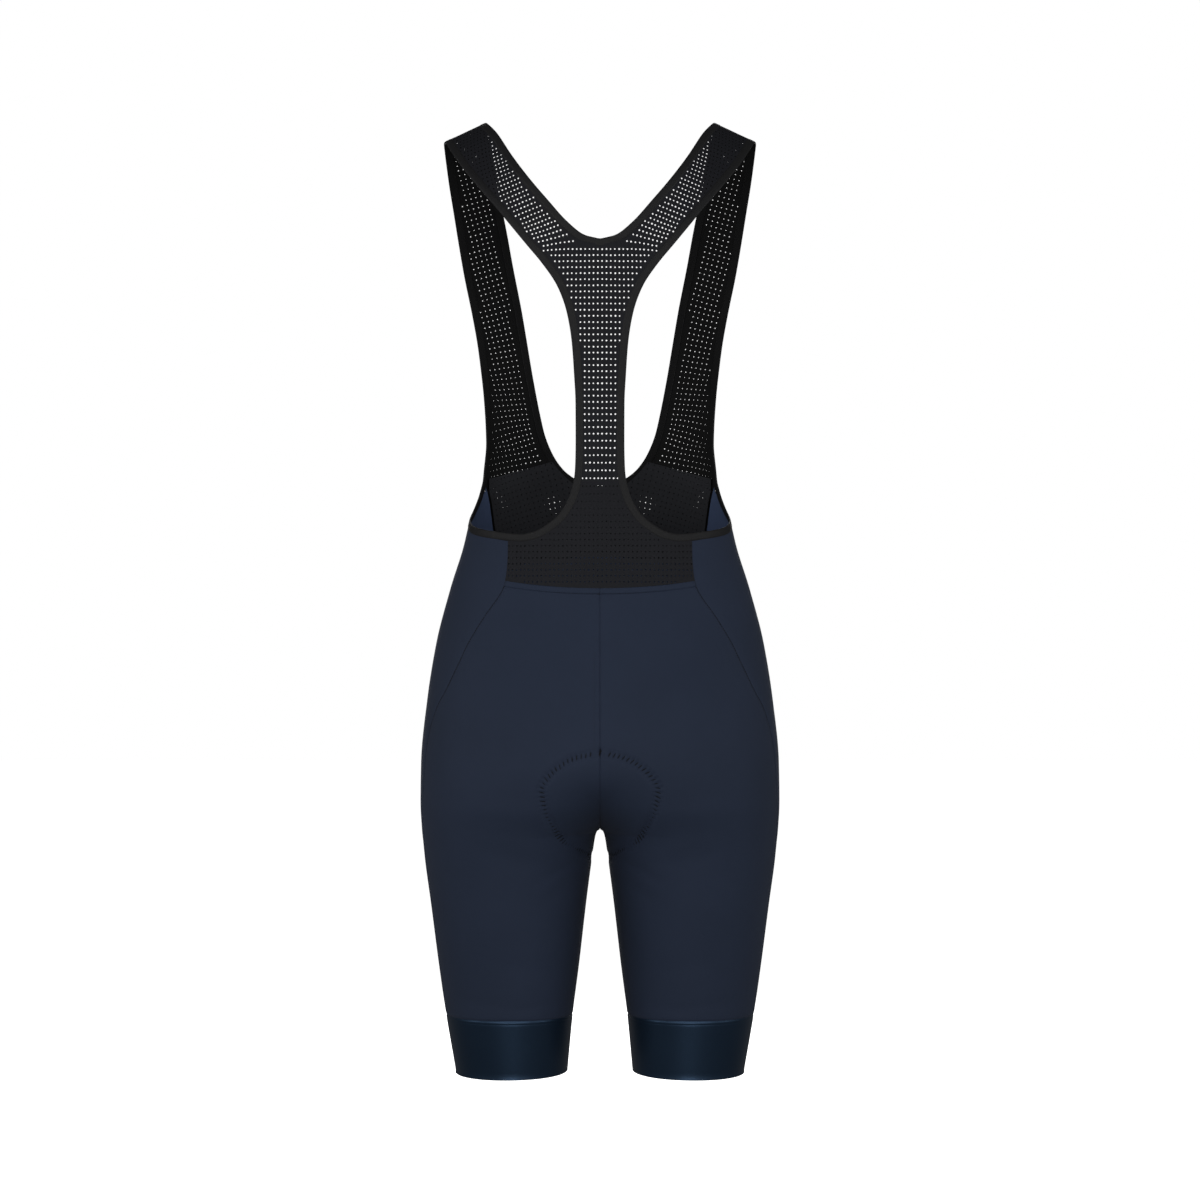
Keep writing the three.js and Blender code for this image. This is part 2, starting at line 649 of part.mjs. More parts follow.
function backPanel() {
  const edgeX = (share) => BACK_WAIST.x * share;
  return shortsPanel({
    upper: [
      (share) => waistZ(BACK_WAIST, edgeX(share)) - HALF_GAP,
      (share) => mix(WAIST_ROW.backMiddle, WAIST_ROW.backSide, share),
    ],
    bottom: PANEL_FOOT,
    columns: BACK_COLUMNS,
    arcAt: (share, z) => {
      const seamArc = backSeam(z) - HALF_GAP;
      const widthAt = (height) => backSeam(height) - HALF_GAP - startGap(height);
      return seamArc - arcFromSeam(1 - share, z, widthAt);
    },
    wall: KNIT_WALL,
  });
}

function frontPanel() {
  const edgeX = (share) => FRONT_WAIST.x * (1 - share);
  return shortsPanel({
    upper: [
      (share) => waistZ(FRONT_WAIST, edgeX(share)) - HALF_GAP,
      (share) => mix(WAIST_ROW.frontSide, WAIST_ROW.frontMiddle, share),
    ],
    bottom: PANEL_FOOT,
    columns: FRONT_COLUMNS,
    arcAt: (share, z) => {
      const widthAt = (height) =>
        section(height).total - startGap(height) - frontSeam(height) - HALF_GAP;
      return frontSeam(z) + HALF_GAP + arcFromSeam(share, z, widthAt);
    },
    wall: KNIT_WALL,
  });
}

function sidePanel() {
  const drops = Array.from({ length: SIDE_COLUMNS + 1 }, (_, c) =>
    sideDrop(c / SIDE_COLUMNS, TAPE_WIDTH + SEAM_GAP),
  );
  const topAt = (share) => armholeZ(share) - drops[Math.round(share * SIDE_COLUMNS)];
  const waistAt = (share) => mix(BACK_WAIST.side, FRONT_WAIST.side, share);
  const netRows = Array.from({ length: BIB_COLUMNS + 1 }, (_, r) => (share) =>
    mix(topAt(share), waistAt(share), r / BIB_COLUMNS),
  );
  return shortsPanel({
    upper: [...netRows, (share) => mix(WAIST_ROW.backSide, WAIST_ROW.frontSide, share)],
    bottom: PANEL_FOOT,
    columns: SIDE_COLUMNS,
    arcAt: (share, z) => mix(backSeam(z) + HALF_GAP, frontSeam(z) - HALF_GAP, share),
    wall: KNIT_WALL,
  });
}

// A leg gripper: a whole ring below the cuff seam, with its hem lowest at the back of the side
function cuff() {
  const middle = CUFF_ROW_DROPS.map((drop) => CUFF_SEAM_Z - drop);
  const rows = [CUFF_SEAM_Z - HALF_GAP, ...middle, HEM_Z];
  return gridCells(lastOf(rows), CUFF_COLUMNS, (r, c) => {
    const share = (c % CUFF_COLUMNS) / CUFF_COLUMNS;
    const lowest = section(HEM_Z).arcOfTurn(degrees(HEM_DROP_TURN)) / section(HEM_Z).total;
    const drop = r === lastOf(rows) ? HEM_DROP * Math.cos(Math.PI * (share - lowest)) ** 2 : 0;
    const z = rows[r] - drop;
    return shortsCorner(z, share * section(z).total, 0, CUFF_WALL);
  });
}

// Rows where the nets are cut, and the rows that fan round a corner of the tapes
const BACK_FAN = 13.87;
const FRONT_FAN = 14.08;
const BACK_UPPER = [14, 14.5, 15, 15.5, 16, 17, 18, 19, 20, 21, 22];
const FRONT_UPPER = [0, 1, 2, 3, 4, 5, 6, 7, 8, 9, 10, 11, 12, 13, 14];
const FRONT_LOWER = [16.5, 17, 17.5, 18, 18.5, 19];
const FRONT_NECK_ROWS = [14.5, 15, 15.5, 16];

// A net sheet's cells between the tapes, with its seams held back by half the gap
function netCells(net, rows, { from, to, lift }) {
  const cells = gridCells(lastOf(rows), BIB_COLUMNS, (r, c) => {
    const row = rows[r];
    const share = mix(from(row), to(row), c / BIB_COLUMNS);
    const shift = HALF_GAP / net.rowSpeed(row, share);
    const shoulder = row === lastOf(BACK_ROWS) ? row - shift : row;
    const corner = net.cornerAt(row === 0 ? shift : shoulder, share, 0, NET_WALL);
    if (lift(row, c)) corner.point.z += HALF_GAP;
    return corner;
  });
  return [...cells, ...mirrored(cells)];
}

function backBib() {
  const centre = neckRowAt(TAPE_WIDTH + SEAM_GAP);
  const lower = Array.from({ length: BACK_NECK_ROW }, (_, i) => i);
  return netCells(backNet, [...lower, centre, BACK_FAN, ...BACK_UPPER], {
    from: (row) => armShare(backNet, row, TAPE_WIDTH + SEAM_GAP),
    to: (row) => (row > centre ? neckShare(backNet, row, TAPE_WIDTH + SEAM_GAP) : 1),
    lift: (row, c) => row <= BACK_WAIST_ROW && c === BIB_COLUMNS,
  });
}

function frontBib() {
  const corner = cornerRowAt(TAPE_WIDTH + SEAM_GAP);
  const seamRows = Array.from({ length: BIB_COLUMNS + 1 }, (_, i) =>
    mix(corner, FRONT_WAIST_ROW, i / BIB_COLUMNS),
  );
  return netCells(frontNet, [...FRONT_UPPER, FRONT_FAN, ...seamRows, ...FRONT_LOWER], {
    from: (row) => {
      if (row < corner) return armShare(frontNet, row, TAPE_WIDTH + SEAM_GAP);
      return row === FRONT_LAST_ROW ? 0 : HALF_GAP / frontNet.shareSpeed(row);
    },
    to: (row) => neckShare(frontNet, row, TAPE_WIDTH + SEAM_GAP),
    lift: (row, c) => row >= FRONT_WAIST_ROW && c === 0,
  });
}

// A tape as a closed strip of cross-pieces, each from the edge to the tape's foot
function tapeCells(strip) {
  return cellsOf([...strip, strip[0]]);
}

function crossPiece(net, edge, foot) {
  return [edge, foot].map(([row, share]) => net.cornerAt(row, share, TAPE_PROUD, TAPE_DEPTH));
}

function armholeTape() {
  const backRows = [...BACK_UPPER, ...Array.from({ length: BACK_NECK_ROW }, (_, i) => i)];
  backRows.sort((a, b) => b - a);
  const frontRows = FRONT_UPPER.filter((row) => row > 0).reverse();
  const along = (net) => (row) => crossPiece(net, [row, 0], [row, armShare(net, row, TAPE_WIDTH)]);
  const side = Array.from({ length: SIDE_COLUMNS - 1 }, (_, c) => {
    const share = (c + 1) / SIDE_COLUMNS;
    const top = armholeZ(share);
    return [top, top - sideDrop(share, TAPE_WIDTH)].map((z) =>
      shortsCorner(z, sideArc(share, z), TAPE_PROUD, TAPE_DEPTH),
    );
  });
  const fan = [
    [cornerRowAt(TAPE_WIDTH), 0],
    [FRONT_FAN, armShare(frontNet, FRONT_FAN, TAPE_WIDTH)],
  ].map((foot) => crossPiece(frontNet, [FRONT_SEAM_ROW, 0], foot));
  const back = backRows.map(along(backNet));
  return tapeCells([...back, ...side, ...fan, ...frontRows.map(along(frontNet))]);
}

function neckTape() {
  const along = (net) => (row) => crossPiece(net, [row, 1], [row, neckShare(net, row, TAPE_WIDTH)]);
  const frontRows = [...FRONT_UPPER.filter((row) => row > 0), ...FRONT_NECK_ROWS, ...FRONT_LOWER];
  const left = [
    crossPiece(backNet, [BACK_NECK_ROW, 1], [neckRowAt(TAPE_WIDTH), 1]),
    crossPiece(backNet, [BACK_NECK_ROW, 1], [BACK_FAN, neckShare(backNet, BACK_FAN, TAPE_WIDTH)]),
    ...BACK_UPPER.map(along(backNet)),
    ...frontRows.map(along(frontNet)),
  ];
  const right = mirrored(left).reverse();
  return tapeCells([...left, ...right.slice(1, -1)]);
}

// The inner net layer of the front, lying just inside the outer one
function frontLining() {
  const topAt = (x) => {
    if (x >= LINING_NECK_TOP.x) {
      const share = (x - LINING_NECK_TOP.x) / (LINING_LEFT_TOP.x - LINING_NECK_TOP.x);
      return mix(LINING_NECK_TOP.z, LINING_LEFT_TOP.z, share);
    }
    const dip = neckLeft[neckLeft.length - 1].z - TAPE_WIDTH;
    return mix(dip, LINING_NECK_TOP.z, (x / LINING_NECK_TOP.x) ** 2);
  };
  const cornerAt = (x, z) => {
    const at = (px, pz) => {
      const y = ring.centre(pz) + halfSection(pz, -1).depthAt(Math.max(Math.abs(px), HALF_GAP));
      return new THREE.Vector3(px, y, pz);
    };
    const across = at(x + 1, z).sub(at(x - 1, z));
    const up = at(x, z + 1).sub(at(x, z - 1));
    const normal = across.cross(up).normalize();
    return { point: at(x, z), normal, out: -LINING_TOP, depth: LINING_TOP + LINING_WALL };
  };
  const cells = gridCells(LINING_ROWS, LINING_COLUMNS, (r, c) => {
    const along = c / LINING_COLUMNS;
    const sideX = (z) => section(z).at(frontSeam(z))[0] - LINING_SIDE_MARGIN;
    const topX = along * LINING_LEFT_TOP.x;
    const bottomX = along * sideX(FRONT_WAIST.side);
    const z = mix(topAt(topX), waistZ(FRONT_WAIST, bottomX), r / LINING_ROWS);
    const x = along * mix(sideX(z), Math.min(sideX(z), LINING_LEFT_TOP.x), along);
    return cornerAt(x, z);
  });
  return [...cells, ...mirrored(cells)];
}

function arcOfDepth(z, y, side) {
  const whole = section(z);
  const start = side > 0 ? 0 : whole.total;
  const far = whole.arcOfTurn((side * Math.PI) / 2);
  const depthAt = (share) => whole.at(mix(start, far, share))[1];
  return mix(start, far, lastShare((share) => side * depthAt(share) < side * y));
}

function padArc(row, z, share) {
  if (row.edgeY !== undefined) {
    const start = row.side > 0 ? 0 : section(row.z).total;
    const y = mix(section(row.z).at(start)[1], row.edgeY, share);
    return share === 0 ? start : arcOfDepth(z, y, row.side);
  }
  const arc = row.edgeArc * share;
  return row.side < 0 ? section(z).total - arc : arc;
}

// The seat pad, thick along its mid-line and thin at its edge, just inside the shorts
function seatPad() {
  const lastRow = lastOf(PAD_ROWS);
  const cells = gridCells(lastRow, PAD_COLUMNS, (r, c) => {
    const row = PAD_ROWS[r];
    const share = c / PAD_COLUMNS;
    const z = mix(row.z, row.edgeZ, share);
    const corner = shortsCorner(z, padArc(row, z, share), 0, 0);
    const low = smoothStep(PAD_CROTCH_START - (row.z - CROTCH_Z) / PAD_CROTCH_HEIGHT);
    const nearCrotch = low * (1 - PAD_CROTCH_EASE * share);
    const clear = mix(PAD_CLEARANCE, PAD_CROTCH_CLEARANCE, nearCrotch);
    const ends = Math.min(r, lastRow - r, 2) / 2;
    corner.out = -clear;
    corner.depth = clear + mix(PAD_EDGE, PAD_MIDDLE, (1 - share * share) * ends);
    if (c === 0) {
      corner.point.setX(0);
      if (row.side === 0) corner.normal.set(0, 0, -1);
      corner.normal.setX(0).normalize();
    }
    return corner;
  });
  return [...cells, ...mirrored(cells)];
}

function piece(name, cells, finish) {
  const mesh = new THREE.Mesh(wallGeometry(cells), new THREE.MeshStandardMaterial(finish));
  mesh.name = name;
  return mesh;
}

function pair(name, cells, finish) {
  return [piece(`${name}_left`, cells, finish), piece(`${name}_right`, mirrored(cells), finish)];
}

const garment = new THREE.Group();
garment.add(
  ...pair("back", backPanel(), NAVY),
  ...pair("side", sidePanel(), NAVY),
  ...pair("front", frontPanel(), NAVY),
  ...pair("cuff", cuff(), SATIN),
  piece("back_bib", backBib(), NET),
  piece("front_bib", frontBib(), NET),
  piece("front_lining", frontLining(), LINING),
  piece("neck_binding", neckTape(), TAPE),
  ...pair("armhole_binding", armholeTape(), TAPE),
  piece("seat_pad", seatPad(), PAD),
);

export default garment;
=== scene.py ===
import math

import bpy
import numpy as np
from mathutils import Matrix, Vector
from mathutils.geometry import delaunay_2d_cdt


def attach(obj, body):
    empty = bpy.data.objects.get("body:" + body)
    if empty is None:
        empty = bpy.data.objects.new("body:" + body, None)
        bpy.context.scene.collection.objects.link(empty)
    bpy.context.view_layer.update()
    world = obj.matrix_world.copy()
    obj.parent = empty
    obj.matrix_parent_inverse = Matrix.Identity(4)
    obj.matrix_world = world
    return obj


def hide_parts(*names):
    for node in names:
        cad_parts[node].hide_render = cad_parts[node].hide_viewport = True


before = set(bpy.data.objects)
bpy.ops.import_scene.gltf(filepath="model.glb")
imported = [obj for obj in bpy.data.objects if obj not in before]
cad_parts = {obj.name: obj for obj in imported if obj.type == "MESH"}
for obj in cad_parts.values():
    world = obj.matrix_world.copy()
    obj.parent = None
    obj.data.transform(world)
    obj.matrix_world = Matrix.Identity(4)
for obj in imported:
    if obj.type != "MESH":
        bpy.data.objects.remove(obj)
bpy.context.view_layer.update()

METRE = 0.001

# The photograph's camera: level, straight behind the garment
CAMERA_DISTANCE = 3400
CAMERA_HEIGHT = -449
FRAME_WIDTH = 1152
SENSOR = 36

# Cloth walls in millimetres, measured inward from the garment's outer face
KNIT_WALL = 1.1
CUFF_WALL = 1.6
NET_WALL = 0.5
LINING_TOP = 2.3
LINING_WALL = 0.5
TAPE_PROUD = 0.4
TAPE_DEPTH = 1.6
TAPE_WIDTH = 7.5
TUCK = 2.0
SEAM_GAP = 0.3
HALF_GAP = SEAM_GAP / 2
SEAM_CLOSE = 0.02

# Heights of the main lines
CROTCH_Z = -668
CUFF_SEAM_Z = -845
HEM_Z = -898
HEM_DROP = 4
HEM_DROP_TURN = 65
LEVEL_Z = -460

# How the two halves of the seat and of the belly join above the crotch
BACK_JOIN = 95
FRONT_JOIN = 90
JOIN_DIMPLE = 0.004
FULL_MIDDLE = 66
SOFT_WIDTH = 40
SOFT_START = 8
SOFT_HEIGHT = 70

# Half sections of the shorts: side is a distance from the mid-plane, back and front are depths from
# the ring's own centre, middle and centre place that centre, and square rounds the corners
RING_NAMES = ("z", "side", "back", "front", "middle", "centre", "square")
RINGS = [
    (-230, 121, 93, 101, 0, 0, 3.0),
    (-298, 118.5, 87, 97, 0, 0, 2.8),
    (-345, 121, 85.5, 95, 0, 0, 2.4),
    (-392, 129.5, 87.5, 95.5, 0, 0, 2.2),
    (-438, 143.5, 92, 97, 0, 0, 2.15),
    (-488, 156.5, 103, 98, 14, 2, 2.15),
    (-545, 165.5, 116, 96, 40, 6, 2.12),
    (-603, 171, 121, 92, 66, 10, 2.1),
    (-641, 171.5, 115, 87, 80, 11, 2.1),
    (-668, 170.2, 106.5, 83, 85.5, 10, 2.1),
    (-680, 169, 103.5, 81.6, 86.6, 9.4, 2.1),
    (-700, 167, 99, 79, 87.5, 8.4, 2.1),
    (-737, 162, 92, 76, 87.5, 7, 2.1),
    (-795, 154.6, 80, 70, 87.2, 5, 2.1),
    (-845, 147.5, 71, 65, 86.8, 3.4, 2.1),
    (-898, 138.5, 62, 58, 84.8, 2, 2.1),
]

# The seams beside the side panels: a height, then x from the mid-plane or the turn in degrees
BACK_SEAM = [
    (-386, "x", 86.5),
    (-431, "x", 89),
    (-466, "x", 110),
    (-493, "x", 126),
    (-509, "x", 133.5),
    (-534, "x", 145.6),
    (-551, "x", 154.6),
    (-573, "x", 161.4),
    (-593, "x", 164.6),
    (-640, "turn", 18),
    (-740, "turn", 12),
    (-845, "turn", 8),
]
FRONT_SEAM = [
    (-335, "x", 114),
    (-345, "x", 111),
    (-380, "x", 105.7),
    (-415, "x", 101),
    (-433, "turn", 44),
    (-493, "turn", 38),
    (-560, "turn", 24),
    (-600, "turn", 20),
    (-650, "turn", 18),
    (-740, "turn", 14),
    (-845, "turn", 10),
]

# The armhole's edge on the side panel: share of the way from the back seam to the front, height
ARMHOLE = [(0, -386), (0.27, -381), (0.59, -369.5), (0.7, -364), (0.83, -352), (0.93, -341), (1, -335)]

# Rows of the nets on the left half: outer end, inner end, and how much of the depth comes from the
# sections. The back's run from the side seam over the back and up the strap.
BACK_ROWS = [
    ((86.5, 64, -386), (89, 70, -431), 1),
    ((74.6, 70.5, -387), (68, 80, -434), 1),
    ((61.3, 76, -384.5), (46, 87, -436), 1),
    ((48.4, 80, -377), (23, 91, -437.5), 1),
    ((39.4, 82, -369.5), (0, 92, -438), 1),
    ((30.9, 83.5, -356.6), (0, 88.5, -408), 1),
    ((26.1, 84, -343.5), (0, 86.5, -380), 0.8),
    ((23.5, 84.5, -327), (0, 86, -350), 0.4),
    ((22.9, 86, -300), (0, 87.5, -312), 0),
    ((23, 89, -265), (0, 90.5, -270), 0),
    ((24.3, 91.5, -239), (0, 93.5, -239), 0),
    ((26.5, 94, -208), (0, 96, -205), 0),
    ((31, 95.5, -181), (0, 98, -172), 0),
    ((39.5, 96, -157), (0, 99, -142), 0),
    ((54, 95, -135), (0, 99, -113), 0),
    ((68, 93, -118), (14, 99, -109), 0),
    ((81, 89, -102), (30.5, 97.5, -96), 0),
    ((97, 81, -82), (48, 92, -76), 0),
    ((115, 67, -60), (66, 82, -54), 0),
    ((131, 47, -39), (83, 64, -30), 0),
    ((143, 24, -20), (99, 38, -4), 0),
    ((149, 6, -10), (109, 10, 8), 0),
    ((150.5, -8, -10), (110, -6, 9), 0),
]
BACK_NECK_ROW = 14
BACK_WAIST_ROW = 4
BACK_LAST_ROW = len(BACK_ROWS) - 1
FRONT_ROWS = [
    ((150.5, -8, -10), (110, -6, 9), 0),
    ((149.5, -24, -22), (108, -20, -3), 0),
    ((147, -42, -44), (104, -37, -26), 0),
    ((143, -58, -71), (98.5, -56, -54), 0),
    ((138.5, -70, -101), (92, -75, -86), 0),
    ((133.5, -78, -131), (86, -89, -120), 0),
    ((126, -83, -168), (77.5, -99, -164), 0),
    ((120.8, -84, -197), (72, -102, -197), 0),
    ((116.8, -80, -227), (66.5, -102, -230), 0),
    ((113.5, -71, -256), (60, -100, -264), 0.3),
    ((111.6, -61, -280), (54.5, -99, -287), 0.8),
    ((111, -52, -298), (48.5, -98, -302), 1),
    ((112, -46, -312), (44, -97, -310.5), 1),
    ((113, -42, -322), (40.5, -97, -315.5), 1),
    ((114, -41, -335), (36, -96.5, -321), 1),
    (None, (29.5, -96, -326.5), 1),
    (None, (22, -95.5, -331), 1),
    (None, (14, -95, -334.4), 1),
    (None, (7, -95, -336), 1),
    (None, (0, -95, -336.5), 1),
]
FRONT_SEAM_ROW = 14
FRONT_WAIST_ROW = 16
FRONT_LAST_ROW = len(FRONT_ROWS) - 1

# The waist seams' heights: at the mid-plane and the side, the side's x, and how the curve rises
BACK_WAIST = {"middle": -438, "side": -431, "x": 89, "power": 2}
FRONT_WAIST = {"middle": -404, "side": -415, "x": 101, "power": 1.12}

# The inner net's slanting top edge
LINING_LEFT_TOP = (110, -331)
LINING_NECK_TOP = (47, -313)
LINING_SIDE_MARGIN = 1.5


def mix(a, b, share):
    return a + (b - a) * share


def smooth_step(value):
    share = np.clip(value, 0, 1)
    return share * share * (3 - 2 * share)


def curve_through(places, values):
    """A smooth curve through a table's values that never overshoots between its rows."""
    places = np.asarray(places, float)
    values = np.asarray(values, float)
    slopes = np.diff(values) / np.diff(places)
    both = slopes[:-1] * slopes[1:]
    total = np.where(both > 0, slopes[:-1] + slopes[1:], 1)
    inner = np.where(both > 0, 2 * both / total, 0)
    tangents = np.concatenate([slopes[:1], inner, slopes[-1:]])

    def at(place):
        held = np.clip(place, places[0], places[-1])
        i = np.clip(np.searchsorted(places, held, side="right") - 1, 0, len(places) - 2)
        step = places[i + 1] - places[i]
        t = (held - places[i]) / step
        leave = step * tangents[i] * t * (1 - t) ** 2
        arrive = step * tangents[i + 1] * t * t * (t - 1)
        return mix(values[i], values[i + 1], t * t * (3 - 2 * t)) + leave + arrive

    return at


def curve_by_number(values):
    return curve_through(range(len(values)), values)


def smooth_line(points):
    """A smooth line through points, by their number in the list."""
    axes = [curve_by_number(axis) for axis in np.asarray(points, float).T]
    return lambda place: np.stack([axis(place) for axis in axes], -1)


def run_lengths(points):
    """How far along a chain of points each of them lies."""
    return np.concatenate([[0], np.cumsum(np.linalg.norm(np.diff(points, axis=0), axis=1))])


def at_lengths(points, lengths, wanted):
    """A chain's places at the wanted lengths along it."""
    return np.stack([np.interp(wanted, lengths, axis) for axis in points.T], -1)


def end_to_end(lines):
    """Lines of the same kinds of values, one after the other."""
    return [np.concatenate(parts) for parts in zip(*lines)]


def as_arrays(*values):
    return np.broadcast_arrays(*(np.asarray(value, float) for value in values))


def table_curves(rows, names):
    ordered = sorted(rows)
    places = [row[0] for row in ordered]
    return {name: curve_through(places, [row[i] for row in ordered]) for i, name in enumerate(names) if i}


ring = table_curves(RINGS, RING_NAMES)

# The inside of the leg, closely drawn at the arch below the crotch: height, distance from the mid-plane
INNER_LEG = [
    (-898, 31), (-845, 26), (-795, 19.7), (-737, 13), (-700, 8.2), (-684, 6), (-676, 4.7),
    (-671.5, 3.5), (-669.2, 2.2), (-668.3, 1.1), (-668, 0.2), (-230, 0.2),
]
ring["inner"] = curve_through(*zip(*INNER_LEG))


class HalfSection:
    """One half of the sections at the given heights, behind (+1) or in front (-1) of their centres."""

    def __init__(self, z, sign):
        self.sign = sign
        self.centre = ring["centre"](z)
        self.square = ring["square"](z)
        self.middle = np.maximum(ring["middle"](z), HALF_GAP)
        self.outward = ring["side"](z) - self.middle
        self.depth = ring["back" if sign > 0 else "front"](z)
        above = np.clip((z - CROTCH_Z) / (BACK_JOIN if sign > 0 else FRONT_JOIN), 0, 1)
        dimple = JOIN_DIMPLE * self.middle / FULL_MIDDLE
        joined = np.minimum(np.sqrt(1 - (1 - above) ** 3), 1 - dimple)
        rest = (1 - joined ** self.square) ** (1 / self.square)
        split = self.middle - ring["inner"](z)
        self.inward = np.where(z > CROTCH_Z, (self.middle - HALF_GAP) / rest, split)
        start = smooth_step((z - CROTCH_Z - SOFT_START) / SOFT_HEIGHT)
        self.soft = np.minimum(SOFT_WIDTH, self.middle) * start
        self.end = math.pi - np.arctan2(joined, rest)

    def plain(self, x):
        reach = np.where(x > self.middle, self.outward, np.maximum(self.inward, HALF_GAP))
        share = np.minimum(np.abs(x - self.middle) / reach, 1)
        return self.depth * (1 - share ** self.square) ** (1 / self.square)

    def depth_at(self, x):
        soft = np.maximum(self.soft, HALF_GAP / 10)
        slope = (self.plain(soft + HALF_GAP) - self.plain(soft - HALF_GAP)) / SEAM_GAP
        softened = self.plain(soft) - slope * (soft * soft - x * x) / (2 * soft)
        return self.sign * np.where(x < self.soft, softened, self.plain(x))

    def point_at(self, turn):
        along = np.cos(turn)
        across = np.sin(turn)
        size = (np.abs(along) ** self.square + np.abs(across) ** self.square) ** (-1 / self.square)
        x = self.middle + np.where(along > 0, self.outward, self.inward) * along * size
        y = np.where(x < self.soft, self.depth_at(x), self.sign * self.depth * across * size)
        return x, self.centre + y


# The shorts' sections, worked out once at close heights, closest round the crotch
SECTION_HEIGHTS = np.concatenate([
    np.arange(-906, -700, 1.0),
    np.arange(-700, CROTCH_Z, 0.5),
    np.arange(CROTCH_Z, -656, 0.15),
    np.arange(-656, -560, 0.5),
    np.arange(-560, -229, 1.0),
])
TURN_STEPS = 128
SHARE_STEPS = 1024
ACROSS_STEPS = 25
LEAST_X = 0.01


class Shorts:
    """The shorts' outer face by height and by arc, from the back's mid-line round to the front's."""

    def __init__(self):
        z = SECTION_HEIGHTS[:, None]
        self.back = HalfSection(z, 1)
        self.front = HalfSection(z, -1)
        steps = np.arange(TURN_STEPS + 1) / TURN_STEPS
        behind = self.back.point_at(self.back.end * (1 - steps))
        before = self.front.point_at(self.front.end * steps[1:])
        x, y = (np.concatenate(pair, 1) for pair in zip(behind, before))
        lengths = np.hypot(np.diff(x), np.diff(y))
        self.arcs = np.concatenate([np.zeros((len(z), 1)), np.cumsum(lengths, 1)], 1)
        self.totals = self.arcs[:, -1]
        shares = np.linspace(0, 1, SHARE_STEPS + 1)
        self.x, self.y = (
            np.array([np.interp(shares * arcs[-1], arcs, row) for arcs, row in zip(self.arcs, rows)])
            for rows in (x, y)
        )

    def row_of(self, z):
        held = np.clip(z, SECTION_HEIGHTS[0], SECTION_HEIGHTS[-1])
        i = np.clip(np.searchsorted(SECTION_HEIGHTS, held, side="right") - 1, 0, len(SECTION_HEIGHTS) - 2)
        return i, (held - SECTION_HEIGHTS[i]) / (SECTION_HEIGHTS[i + 1] - SECTION_HEIGHTS[i])

    def total(self, z):
        i, part = self.row_of(z)
        return mix(self.totals[i], self.totals[i + 1], part)

    def point(self, z, arc):
        z, arc = as_arrays(z, arc)
        share = arc / self.total(z)
        mirrored = (z > CROTCH_Z) & ((share < 0) | (share > 1))
        within = np.where(share < 0, -share, 2 - share)
        share = np.where(mirrored, within, share % (1 + 1e-12))
        i, part = self.row_of(z)
        place = np.clip(share * SHARE_STEPS, 0, SHARE_STEPS)
        j = np.minimum(place.astype(int), SHARE_STEPS - 1)
        over = place - j
        x, y = (
            mix(mix(t[i, j], t[i, j + 1], over), mix(t[i + 1, j], t[i + 1, j + 1], over), part)
            for t in (self.x, self.y)
        )
        return np.stack([np.where(mirrored, SEAM_GAP - x, x), y, z], -1)

    def normal(self, z, arc, reach=2.0):
        share = arc / self.total(z)
        along = self.point(z, arc + reach) - self.point(z, arc - reach)
        high = self.point(z + reach, share * self.total(z + reach))
        up = high - self.point(z - reach, share * self.total(z - reach))
        return unit(np.cross(up, along))

    def arc_of_turn(self, z, turn):
        """The arc at a turn, from the side of the section (0) to the back (+) or the front (-)."""
        i, part = self.row_of(z)
        found = []
        for row in (i, i + 1):
            behind = TURN_STEPS * (1 - turn / self.back.end[row, 0])
            before = TURN_STEPS * (1 - turn / self.front.end[row, 0])
            place = np.clip(np.where(turn >= 0, behind, before), 0, 2 * TURN_STEPS)
            j = np.minimum(place.astype(int), 2 * TURN_STEPS - 1)
            found.append(mix(self.arcs[row, j], self.arcs[row, j + 1], place - j))
        return mix(found[0], found[1], part)

    def arc_of_x(self, z, x, sign):
        """The arc from the mid-line behind (+1) or in front (-1) to a place on that half."""
        z, x = as_arrays(z, x)
        along = np.linspace(0, 1, ACROSS_STEPS)[:, None] * np.maximum(np.ravel(x), LEAST_X)
        half = HalfSection(np.ravel(z)[None], sign)
        depths = half.depth_at(np.maximum(along, HALF_GAP))
        lengths = np.hypot(np.diff(along, axis=0), np.diff(depths, axis=0)).sum(0)
        return lengths.reshape(x.shape)


def unit(vectors):
    return vectors / np.maximum(np.linalg.norm(vectors, axis=-1, keepdims=True), 1e-12)


shorts = Shorts()


def seam(table, sign):
    """A side seam as an arc by height."""
    rows = []
    for z, kind, value in table:
        turn = math.radians(value)
        if kind == "x":
            square = ring["square"](z)
            middle = ring["middle"](z)
            along = (value - middle) / (ring["side"](z) - middle)
            turn = math.atan2((1 - along ** square) ** (1 / square), along)
        rows.append((z, sign * turn))
    turn_at = table_curves(rows, ("z", "turn"))["turn"]
    return lambda z: shorts.arc_of_turn(z, turn_at(z))


back_seam = seam(BACK_SEAM, 1)
front_seam = seam(FRONT_SEAM, -1)
armhole_z = curve_through(*zip(*ARMHOLE))


def round_arc(z, arc, sign):
    """An arc from the mid-line behind or in front (-1), as the arc round from the one behind."""
    return arc if sign >= 0 else shorts.total(z) - arc


def waist_z(waist, x):
    return waist["middle"] + (waist["side"] - waist["middle"]) * (np.abs(x) / waist["x"]) ** waist["power"]


def edge_curve(rows, end):
    return smooth_line([row[end] for row in rows if row[end]])


def on_sections(x, z, sign):
    half = HalfSection(z, sign)
    return half.centre + half.depth_at(np.maximum(np.abs(x), HALF_GAP))


back_outer = edge_curve(BACK_ROWS, 0)
back_inner = edge_curve(BACK_ROWS, 1)
back_body = curve_by_number([row[2] for row in BACK_ROWS])
front_outer = edge_curve(FRONT_ROWS, 0)
front_inner = edge_curve(FRONT_ROWS, 1)
front_body = curve_by_number([row[2] for row in FRONT_ROWS])


